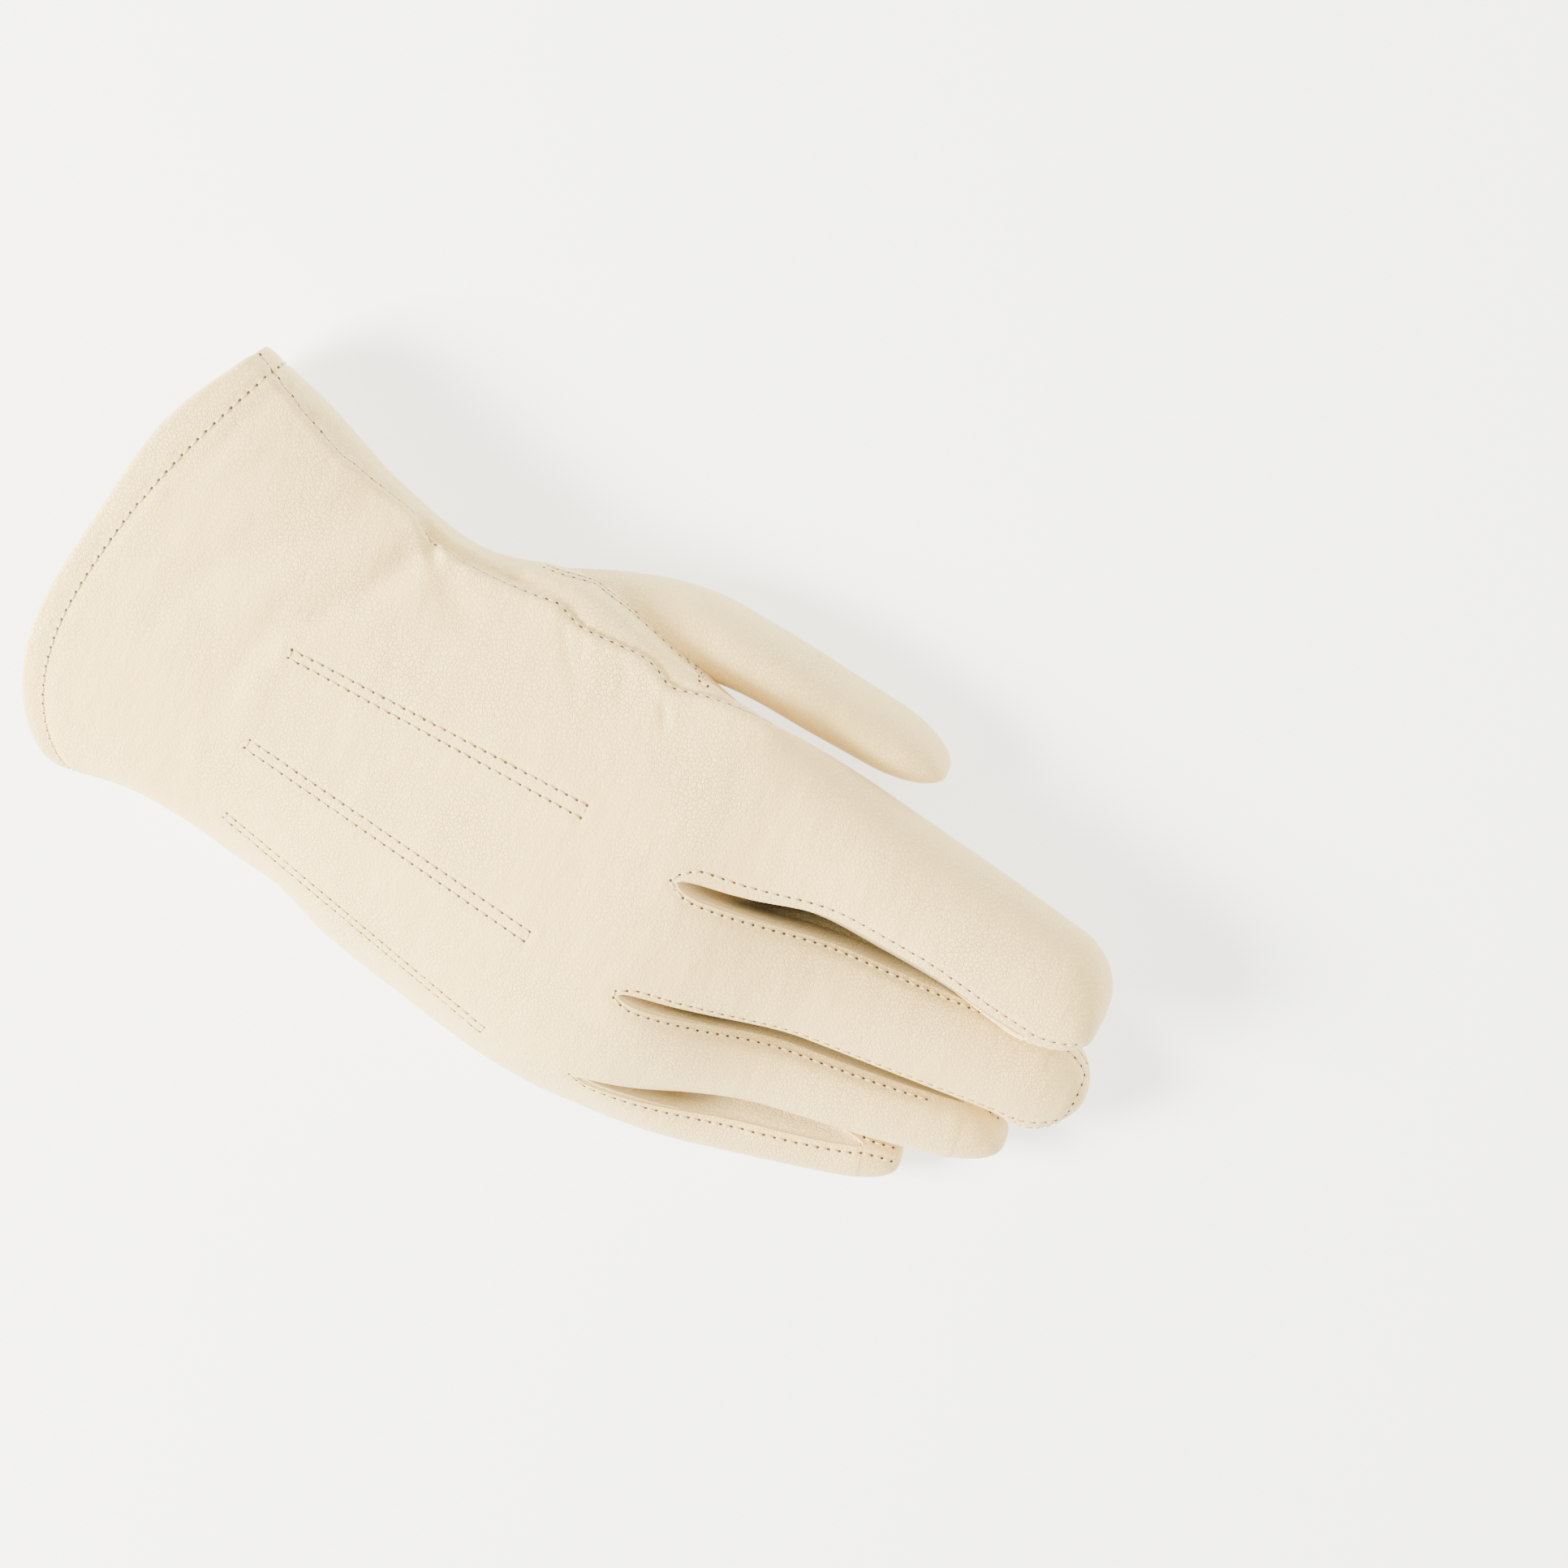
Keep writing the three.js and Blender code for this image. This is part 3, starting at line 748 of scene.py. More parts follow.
class Polyline:
    """A smooth line in space, as a chain of short steps."""

    def __init__(self, points: Points) -> None:
        """Keeps the chain and its length at each point.

        Args:
            points: rows of x, y, z.
        """
        self.points = np.asarray(points, float)
        steps = np.linalg.norm(np.diff(self.points, axis=0), axis=1)
        self.lengths = np.concatenate([[0.0], np.cumsum(steps)])

    @classmethod
    def through(cls, knots: Sequence[Sequence[float]], step: float = 1.0) -> "Polyline":
        """A smooth curve through a few knots.

        Args:
            knots: rows of x, y, z.
            step: length of the chain's steps in mm.

        Returns:
            The curve.
        """
        knots_ = np.asarray(knots, float)
        spans = np.linalg.norm(np.diff(knots_, axis=0), axis=1)
        along = np.concatenate([[0.0], np.cumsum(spans)])
        columns = "along x y z".split()
        table = Table(" ".join(columns), np.column_stack([along, knots_]))
        places = np.linspace(0, along[-1], max(3, int(along[-1] / step) + 1))
        return cls(np.stack([table.at(c, places) for c in columns[1:]], axis=-1))

    def at(self, lengths: Points) -> Points:
        """Points at lengths along the line."""
        columns = [np.interp(lengths, self.lengths, self.points[:, i]) for i in range(3)]
        return np.stack(columns, axis=-1)

    def distances(self, points: Points) -> tuple[Points, Points, Points]:
        """How points lie by the line.

        Args:
            points: rows of x, y, z.

        Returns:
            Their distance from it, the length along it of the nearest place, and their offset.
        """
        best = np.full(len(points), 1e9)
        place = np.zeros(len(points))
        offset = np.zeros((len(points), 3))
        for a, b, start in zip(self.points[:-1], self.points[1:], self.lengths[:-1]):
            run = b - a
            length = max(float(np.linalg.norm(run)), 1e-9)
            t = clamp((points - a) @ run / length**2)
            away = points - (a + t[:, None] * run)
            distance = np.linalg.norm(away, axis=1)
            closer = distance < best
            best = np.where(closer, distance, best)
            place = np.where(closer, start + t * length, place)
            offset = np.where(closer[:, None], away, offset)
        return best, place, offset


@dataclass(frozen=True)
class Crease:
    """A fold in the leather, drawn in plan on the back: where it runs, how deep and how wide."""

    plan: tuple[tuple[float, float], ...]
    depth: float
    width: float
    bank: float = 0.35
    end_depth: float = 0.35
    end_run: float = 0.25

    def sunk(self, points: Points) -> Points:
        """How far the fold sinks the leather, with a low rise at each side of it.

        Args:
            points: rows of x, y, z.

        Returns:
            One depth in mm for each point.
        """
        line = Polyline.through([(x, y, 0.0) for x, y in self.plan], 2.0)
        distance, place, _ = line.distances(points * np.array([1, 1, 0]))
        total = line.lengths[-1]
        ends = ease(place / total / self.end_run) * ease((1 - place / total) / self.end_run)
        rise = self.bank * np.exp(-((distance / self.width / 2) ** 2))
        fold = np.exp(-((distance / self.width) ** 2)) - rise
        return self.depth * fold * mix(self.end_depth, 1, ends)


CREASES = (
    Crease(((-58.7, 50.9), (-61.7, 43.4), (-67.1, 32.8), (-72.8, 24.9), (-76.4, 17.8)), 1.72, 3.6),
    Crease(((-60.4, 53.8), (-68.8, 45.3), (-78.6, 35.1), (-87.3, 22.6), (-92.0, 12.4)), -0.8, 4.5),
    Crease(((-79.0, 23.5), (-82.9, 13.1), (-85.9, 3.7), (-85.4, -8.2), (-82.2, -19.7)), 0.5, 4.0),
    Crease(((-73.0, 20.0), (-77.5, 11.0), (-80.0, 2.0), (-79.5, -9.0)), -0.4, 3.5),
    Crease(((-69.4, 59.6), (-79.3, 45.5), (-91.9, 32.5), (-102.2, 18.7), (-106.2, 4.5)), 0.8, 4.5),
    Crease(((-105.1, 61.2), (-110.2, 49.9), (-114.5, 41.1), (-116.3, 33.7)), 0.56, 2.5),
    Crease(((-77.6, 50.7), (-86.8, 43.9), (-94.1, 37.3), (-99.5, 31.1)), 0.4, 1.6),
    Crease(((-80.7, 61.9), (-89.7, 54.7), (-100.4, 51.0), (-104.6, 42.2)), 0.4, 1.6),
    Crease(((-103.4, 66.4), (-109.2, 56.8), (-111.8, 49.0)), 0.4, 1.4),
    Crease(((-66.5, 54.5), (-60.5, 50.8), (-56.0, 45.5)), 1.8, 1.7),
    Crease(((-52.5, 47.5), (-49.5, 52.0), (-48.5, 56.5)), 1.1, 1.5),
    Crease(((-63.0, 51.8), (-55.0, 50.2), (-46.5, 50.0), (-38.0, 51.2), (-31.0, 52.6)), 1.9, 1.1),
    Crease(((-58.0, 53.0), (-50.0, 52.4), (-43.0, 53.2)), 1.5, 0.9),
    Crease(((-95.0, 62.0), (-89.5, 60.6), (-84.5, 60.2)), 0.35, 0.8),
    Crease(((-91.0, 60.2), (-85.5, 58.8), (-80.0, 58.4)), 0.35, 0.8),
    Crease(((-87.0, 63.0), (-81.5, 61.2), (-77.0, 60.6)), 0.35, 0.8),
    Crease(((-82.0, 57.6), (-76.5, 56.8), (-72.0, 56.9)), 0.35, 0.8),
    Crease(((-41.5, 49.8), (-38.5, 53.0), (-37.5, 56.5)), 0.9, 1.5),
    Crease(((-31.0, 51.0), (-27.5, 54.0)), 0.5, 1.4),
    Crease(((-82.8, 60.5), (-74.3, 58.5), (-67.8, 56.8), (-60.8, 54.6)), 0.8, 1.8),
    Crease(((-25.8, 51.1), (-20.5, 43.6), (-14.4, 36.1)), 0.56, 1.6),
    Crease(((-23.4, 51.8), (-17.9, 45.1), (-13.2, 37.9)), 0.48, 1.4),
    Crease(((-9.9, 49.5), (-6.1, 43.0), (-3.9, 37.6)), 0.4, 1.6),
    Crease(((3.5, 44.1), (7.7, 37.7)), 0.72, 1.2),
    Crease(((-56.4, 47.4), (-48.3, 41.1), (-40.5, 37.9)), 0.69, 4.0),
    Crease(((64.6, 2.7), (64.1, -2.2), (64.1, -5.6)), 0.19, 1.0),
    Crease(((16.8, -33.5), (23.6, -34.6), (29.6, -34.1)), 0.48, 1.8),
    Crease(((9.9, -23.7), (19.0, -20.8), (30.7, -18.7)), 0.48, 2.0),
)


@dataclass(frozen=True)
class Dent:
    """A broad push that moves the leather round its middle, all in mm."""

    middle: tuple[float, float, float]
    radius: float
    push: tuple[float, float, float]


DENTS = (
    Dent((-97, -46, 14), 12, (0, 2.6, 0)),
    Dent((-83, -46, 12), 10, (0, 1.4, 0)),
    Dent((-57, -50, 12), 10, (0, 2.8, 0)),
    Dent((-76, 57, 18), 20, (0, -0.4, 0)),
    Dent((-50, 55, 18), 14, (0, -0.9, 0)),
    Dent((124, 28, 14), 10, (1.7, 1.0, 0)),
    Dent((125, -14, 9), 8, (0.8, -2.4, 0)),
    Dent((-128, 49, 28), 20, (-3.6, 0, 0)),
)


@dataclass
class StitchRow:
    """One row of stitches and how the leather lies along it.

    groove and reach are the depth and the width of its groove, seen says that it is drawn as the
    camera sees it, and pair is the room between its two rows where it stands for a double one.
    lap is the step where one edge lies over the other, and bank the low rise beside the groove.
    """

    name: str
    line: Polyline
    groove: float = 0.3
    reach: float = 0.8
    seen: bool = False
    pair: float = 0.0
    lap: float = 0.0
    lap_edge: float = 0.9
    lap_reach: float = 6.0
    pucker: float = 0.25
    bank: float = 0.3
    bank_place: float = 2.2
    bank_width: float = 1.4

    def relief(self, points: Points, pitch: float) -> Points:
        """How far the row's groove, its low bank and a lapped edge move the leather out.

        Args:
            points: rows of x, y, z.
            pitch: length of one stitch in mm.

        Returns:
            One distance in mm for each point.
        """
        distance, place, offset = self.line.distances(points)
        depth = 1 - self.pucker + self.pucker * np.cos(2 * math.pi * place / pitch)
        bank = np.exp(-(((distance - self.bank_place) / self.bank_width) ** 2))
        out = self.groove * (self.bank * bank - depth * np.exp(-((distance / self.reach) ** 2)))
        if self.lap:
            above = offset[:, 2] - offset[:, 1]
            step = ease((above + self.lap_edge) / (2 * self.lap_edge)) - 0.5
            out += step * self.lap * np.exp(-((distance / self.lap_reach) ** 2))
        return out


@dataclass
class SeamPlan:
    """Where the rows of stitches run, in mm in the CAD frame, and how they are sewn."""

    form: GloveForm
    pitch: float = 2.6
    edge: float = 1.5
    wide_edge: float = 2.6
    hem: float = 5.2
    double: float = 1.7
    slit_begin: float = 3
    slit_end: float = 0.975
    palm_end: float = 0.97
    slit_reach: float = 0.9
    slit_step: float = 0.8
    back_places: int = 90
    palm_places: int = 60
    ring_end: int = 72
    side_seam: tuple[tuple[float, float, float], ...] = (
        (-109.2, 66.3, 24), (-95.4, 60.5, 26), (-85.0, 57.1, 27), (-67.2, 54.1, 28),
        (-59.1, 50.4, 28), (-50.6, 48.7, 28), (-40.7, 48.9, 28), (-32.6, 49.7, 28),
        (-27.4, 50.5, 28), (-20.7, 48.2, 28), (-12.3, 48.5, 28), (-4.9, 48.9, 28),
        (0.2, 47.4, 28), (3.3, 45.4, 28), (10.9, 47.3, 28), (18.5, 48.7, 28),
        (27.5, 48.8, 27),
    )
    thumb_seam: tuple[tuple[float, float, float], ...] = (
        (-34.3, 54.5, 21), (-31.1, 54.9, 21), (-25.1, 56.3, 21), (-18.1, 57.2, 21),
        (-10.9, 57.0, 21), (-6.3, 57.0, 21), (-1.9, 55.5, 21), (2.0, 53.9, 22),
        (6.1, 51.5, 22), (9.0, 49.0, 22),
    )
    tacks: tuple[tuple[tuple[float, float, float], ...], ...] = (
        ((-113.0, 68.4, 24), (-110.6, 67.2, 24), (-108.4, 65.9, 24)),
        ((8.8, 48.7, 24), (10.9, 48.1, 24), (11.7, 50.3, 24)),
    )
    points: tuple[tuple[float, ...], ...] = (
        (-76.1, 13.0, 38, -0.5, 12.6, 38, 2.2, 3.4),
        (-76.2, -12.8, 35, 1.0, -22.4, 35, 2.4, 2.8),
        (-74.4, -34.5, 27, 1.3, -52.4, 26, 1.5, 1.6),
    )

    def edge_row(self, k: int, face: Face, side: Side, shares: Points) -> Points:
        """Points a constant way in from a slit's edge on finger k.

        Args:
            k: the finger.
            face: back or palm.
            side: which of the finger's sides.
            shares: shares of the finger's length.

        Returns:
            Rows of x, y, z in the CAD frame.
        """
        trank = self.form.trank
        half = trank(k, face, shares, 0.5) - trank(k, face, shares, side.value * 1.0)
        edge = self.wide_edge if (k, side) == (0, Side.LITTLE) else self.edge
        inset = np.clip(edge / (PANEL * np.linalg.norm(half, axis=-1)), 0.0, 0.45)
        across = inset if side is Side.THUMB else 1 - inset
        return self.form.placed(self.form.trank(k, face, shares, across))

    def slit_rows(self) -> list[StitchRow]:
        """The rows along the slits between the fingers.

        Returns:
            For each slit the row on the back and the row on the palm.
        """
        form, rows = self.form, []
        for k in range(3):
            lengths = form.fingers[k].length, form.fingers[k + 1].length
            for face, begin, end, count in (
                (Face.BACK, self.slit_begin, self.slit_end, self.back_places),
                (Face.PALM, form.fork_drop + self.slit_begin, self.palm_end, self.palm_places),
            ):
                own, other = (np.linspace(begin / length, end, count) for length in lengths)
                low = self.edge_row(k, face, Side.LITTLE, own)[::-1]
                high = self.edge_row(k + 1, face, Side.THUMB, other)
                back = face is Face.BACK
                drop = 0.0 if back else form.fork_drop
                slit = form.back_slits[k] if back else form.palm_slits[k]
                start = form.placed(form.hand(1 + (drop - self.edge) / form.hand_length, slit))
                if back and k == 1:
                    high = high[: self.ring_end]
                parts = [start[None, :], high] if back and k == 2 else [low, start[None, :], high]
                line = Polyline.through(np.concatenate(parts), self.slit_step)
                name = f"slit_{k}" if back else f"palm_slit_{k}"
                rows.append(StitchRow(name, line, reach=self.slit_reach))
        return rows

    def tip_row(self) -> StitchRow:
        """The row round the tip of the middle finger.

        Returns:
            The row.
        """
        shares, across = np.full(40, self.slit_end), np.linspace(0.1, 0.9, 40)
        points = self.form.placed(self.form.trank(1, Face.BACK, shares, across))
        line = Polyline.through(points, self.slit_step)
        return StitchRow("middle_tip", line, reach=self.slit_reach)

    def hem_row(self) -> StitchRow:
        """The row that holds the turned hem, once round the cuff.

        Returns:
            The row.
        """
        angles = np.linspace(0, 360, 181)
        points = self.form.placed(self.form.hand(self.hem / self.form.hand_length, angles))
        return StitchRow("hem", Polyline.through(points, 1.0), 0.45, 1.0)

    @staticmethod
    def doubled(
        name: str, knots: Sequence[Sequence[float]], gap: float, last: float
    ) -> list[StitchRow]:
        """Two rows side by side, closed at both ends.

        Args:
            name: the seam's name.
            knots: the middle line.
            gap: room between the rows at the first end.
            last: and at the last.

        Returns:
            The rows.
        """
        line = Polyline.through(knots, 1.0)
        run = unit(np.gradient(line.points, axis=0))
        across = unit(np.cross(run, np.array([0.0, 0.0, 1.0])))
        half = np.linspace(gap, last, len(line.points))[:, None] / 2
        left, right = line.points + across * half, line.points - across * half
        return [
            StitchRow(f"{name}_a", Polyline(left), seen=True),
            StitchRow(f"{name}_b", Polyline(right), seen=True),
            StitchRow(f"{name}_end", Polyline(np.stack([left[-1], right[-1]])), 0.2, seen=True),
            StitchRow(f"{name}_start", Polyline(np.stack([left[0], right[0]])), 0.2, seen=True),
        ]

    def rows(self) -> list[StitchRow]:
        """The rows of stitches that are drawn on the trank.

        Returns:
            The rows.
        """
        side_line, thumb_line = Polyline.through(self.side_seam), Polyline.through(self.thumb_seam)
        rows = [StitchRow("side_seam", side_line, 0.5, 0.9, seen=True, lap=1.1), self.hem_row()]
        for i, tack in enumerate(self.tacks):
            rows.append(StitchRow(f"tack_{i}", Polyline(tack), seen=True))
        for i, (x0, y0, z0, x1, y1, z1, first, last) in enumerate(self.points):
            middle = ((x0 + x1) / 2, (y0 + y1) / 2, (z0 + z1) / 2)
            rows += self.doubled(f"point_{i}", ((x0, y0, z0), middle, (x1, y1, z1)), first, last)
        rows.append(StitchRow("thumb_seam", thumb_line, seen=True, pair=self.double))
        return rows + self.slit_rows() + [self.tip_row()]


def tree_of(points: Points, faces: Faces) -> BVHTree:
    """A search tree of a mesh."""
    return BVHTree.FromPolygons(points.tolist(), list(faces))


def laid(line: Polyline, tree: BVHTree, eye: Vector | None) -> Polyline:
    """Lays a line on a surface.

    Args:
        line: the line.
        tree: the surface.
        eye: the place it is seen from, to lay it on what is seen there, or none for the nearest place.

    Returns:
        The line on the surface.
    """
    found = []
    for x, y, z in line.points.tolist():
        spot = Vector((x, y, z))
        hit = tree.ray_cast(eye, (spot - eye).normalized())[0] if eye else None
        if hit is None or (hit - spot).length > SIGHT_LIMIT:
            hit = tree.find_nearest(spot)[0]
        found.append(tuple(hit))
    points = np.array(found)
    if eye and len(points) > SHORT_LINE:
        for _ in range(SMOOTHINGS):
            points[1:-1] = (points[:-2] + 2 * points[1:-1] + points[2:]) / 4
    return Polyline(points)


def beside(row: StitchRow, tree: BVHTree) -> list[StitchRow]:
    """The two rows that run side by side along a double one.

    Args:
        row: the double row, laid on the surface.
        tree: the surface.

    Returns:
        The two rows.
    """
    points = row.line.points
    normals = np.array([tuple(tree.find_nearest(Vector(p))[1]) for p in points.tolist()])
    across = unit(np.cross(np.gradient(points, axis=0), normals)) * row.pair / 2
    rows = []
    for label, shift in (("a", across), ("b", -across)):
        line = laid(Polyline(points + shift), tree, None)
        rows.append(StitchRow(f"{row.name}_{label}", line, row.groove, row.reach))
    return rows


def depths(points: Points, tree: BVHTree, reach: float = 40.0) -> Points:
    """How deep points lie inside a closed surface.

    Args:
        points: rows of x, y, z.
        tree: the surface.
        reach: how far it is looked for.

    Returns:
        Their depths in mm, below zero for those outside it.
    """
    found = []
    for x, y, z in points.tolist():
        spot = Vector((x, y, z))
        near, normal, _, _ = tree.find_nearest(spot, reach)
        found.append((near - spot).dot(normal) if near else -reach)
    return np.array(found)


def without(points: Points, faces: Faces, gone: Points) -> Sheet:
    """Leaves out the faces that have every corner among some points.

    Args:
        points: a sheet's points.
        faces: its faces.
        gone: which of the points are to go.

    Returns:
        The points and faces that are left.
    """
    kept = [face for face in faces if not all(gone[i] for i in face)]
    used = np.unique(np.concatenate([np.array(face) for face in kept]))
    index = np.zeros(len(points), int)
    index[used] = np.arange(len(used))
    return points[used], [tuple(int(index[i]) for i in face) for face in kept]


@dataclass
class Trank:
    """The trank: the hand's tube with its turned hem, and the back and palm of each finger."""

    form: GloveForm
    seams: SeamPlan
    row_step: float = 1.15
    back_columns: tuple[int, ...] = (44, 27, 27, 30)
    palm_columns: tuple[int, ...] = (20, 11, 11, 14)
    hem_turn: float = 6.5
    hem_fold: float = 1.25
    mouth_depth: float = 0.8
    mouth_floor: float = 3.5
    rows: list[StitchRow] = field(default_factory=list)

    @staticmethod
    def spread(count: int) -> Points:
        """Places from 0 to 1 that are closer at both ends."""
        even = np.linspace(0, 1, count + 1)
        return mix(even, (1 - np.cos(math.pi * even)) / 2, 0.35)

    def angles(self) -> Points:
        """The columns round the hand.

        Returns:
            Their places in degrees.
        """
        edges = [self.form.side_seam, *self.form.back_slits, self.form.little_fold]
        edges += [*reversed(self.form.palm_slits), 360 + self.form.side_seam]
        counts = [*self.back_columns, *reversed(self.palm_columns)]
        runs = [mix(a, b, self.spread(n))[:-1] for a, b, n in zip(edges, edges[1:], counts)]
        return np.concatenate([*runs, [edges[-1]]])

    def shares(self, k: int) -> Points:
        """The rows along a finger.

        Args:
            k: the finger, from the index.

        Returns:
            Shares of its length.
        """
        form = self.form
        step = self.row_step / form.fingers[k].length
        body = np.arange(0, form.fork_full, step)
        narrow = int((form.fork_end - form.fork_full) / step)
        narrowing = np.sin(np.linspace(0, math.pi / 2, narrow + 1))
        ending = np.sin(np.linspace(0, math.pi / 2 - 0.02, int((1 - form.fork_end) / step) + 6))
        return np.concatenate([
            body, mix(form.fork_full, form.fork_end, narrowing), mix(form.fork_end, 1, ending)[1:],
        ])

    def sheet(self) -> Sheet:
        """The trank's outer surface as a sheet, before its relief.

        Returns:
            Its points in mm and its faces.
        """
        skin, form = Skin(), self.form
        angles = self.angles()
        rim = self.hem_fold / form.hand_length

        def hem_ring(along: float, turn: float) -> Points:
            """A ring of the hem's fold.

            Args:
                along: its place along the hand.
                turn: from -90 degrees on the inner leaf to 90 outside, in radians.

            Returns:
                Rows of x, y, z in the hem's frame.
            """
            place = np.full(angles.shape, along)
            out = -normals_of(form.hand, place, angles)
            run = unit(form.hand(place + 1e-3, angles) - form.hand(place, angles))
            ring = form.hand(place, angles) - out * self.hem_fold * (1 - math.sin(turn))
            return ring - run * self.hem_fold * math.cos(turn)

        quarter = math.pi / 2
        inner = np.linspace(self.hem_turn / form.hand_length, rim, 5)
        rings = [hem_ring(a, -quarter) for a in inner]
        rings += [hem_ring(rim, t) for t in np.linspace(-quarter, quarter, 9)[1:-1]]
        count = int(form.hand_length / self.row_step)
        rings += [form.hand(np.full(angles.shape, a), angles) for a in np.linspace(rim, 1, count)]
        skin.grid(form.placed(np.stack(rings)))
        for k in range(len(form.fingers)):
            shares = self.shares(k)[:, None]
            back = form.trank(k, Face.BACK, shares, self.spread(self.back_columns[k])[None, :])
            palm = form.trank(k, Face.PALM, shares, self.spread(self.palm_columns[k])[None, ::-1])
            skin.grid(form.placed(back))
            skin.grid(form.placed(palm))
            ring = np.concatenate([back[-1, :-1], palm[-1, :-1]])
            skin.cap(form.placed(ring), form.placed(ring.mean(axis=0)))
        return skin.merged()

    def relief(self, points: Points, normals: Points) -> Points:
        """How far the skin stands out along its rows of stitches and its creases.

        Args:
            points: the sheet's points.
            normals: its directions out.

        Returns:
            One distance in mm for each point.
        """
        on_back = ease((normals[:, 2] + 0.1) / 0.5)
        creased = sum(crease.sunk(points) for crease in CREASES)
        return sum(row.relief(points, self.seams.pitch) for row in self.rows) - creased * on_back

    def build(self, fine: float, thumb: "Thumb") -> bpy.types.Object:
        """Makes the trank, open where the thumb is set in.

        Args:
            fine: how fine its grid is, 1 for the full one.
            thumb: the thumb that is set into it.

        Returns:
            The piece.
        """
        self.row_step /= fine
        self.back_columns = tuple(int(n * fine) for n in self.back_columns)
        self.palm_columns = tuple(int(n * fine) for n in self.palm_columns)
        points, faces = self.sheet()
        for dent in DENTS:
            away = np.linalg.norm(points - np.array(dent.middle), axis=1) / dent.radius
            points = points + np.exp(-(away**2))[:, None] * np.array(dent.push)
        tree = tree_of(points, faces)
        for row in self.seams.rows() + thumb.join_rows(tree, self.seams):
            row.line = laid(row.line, tree, EYE if row.seen else None)
            self.rows += beside(row, tree) if row.pair else [row]
        normals = surface_normals(points, faces)
        points = points + normals * self.relief(points, normals)[:, None]
        points[:, 2] = np.maximum(points[:, 2], 0.0)
        self.tree = tree_of(points, faces)
        inside = depths(points, tree_of(*thumb.sheet(fine, 0.0)), 16.0) > self.mouth_depth
        inside &= points[:, 2] > self.mouth_floor
        piece = new_piece("trank_skin", *without(points, faces, inside))
        give_wall(piece, self.form.leather)
        return piece


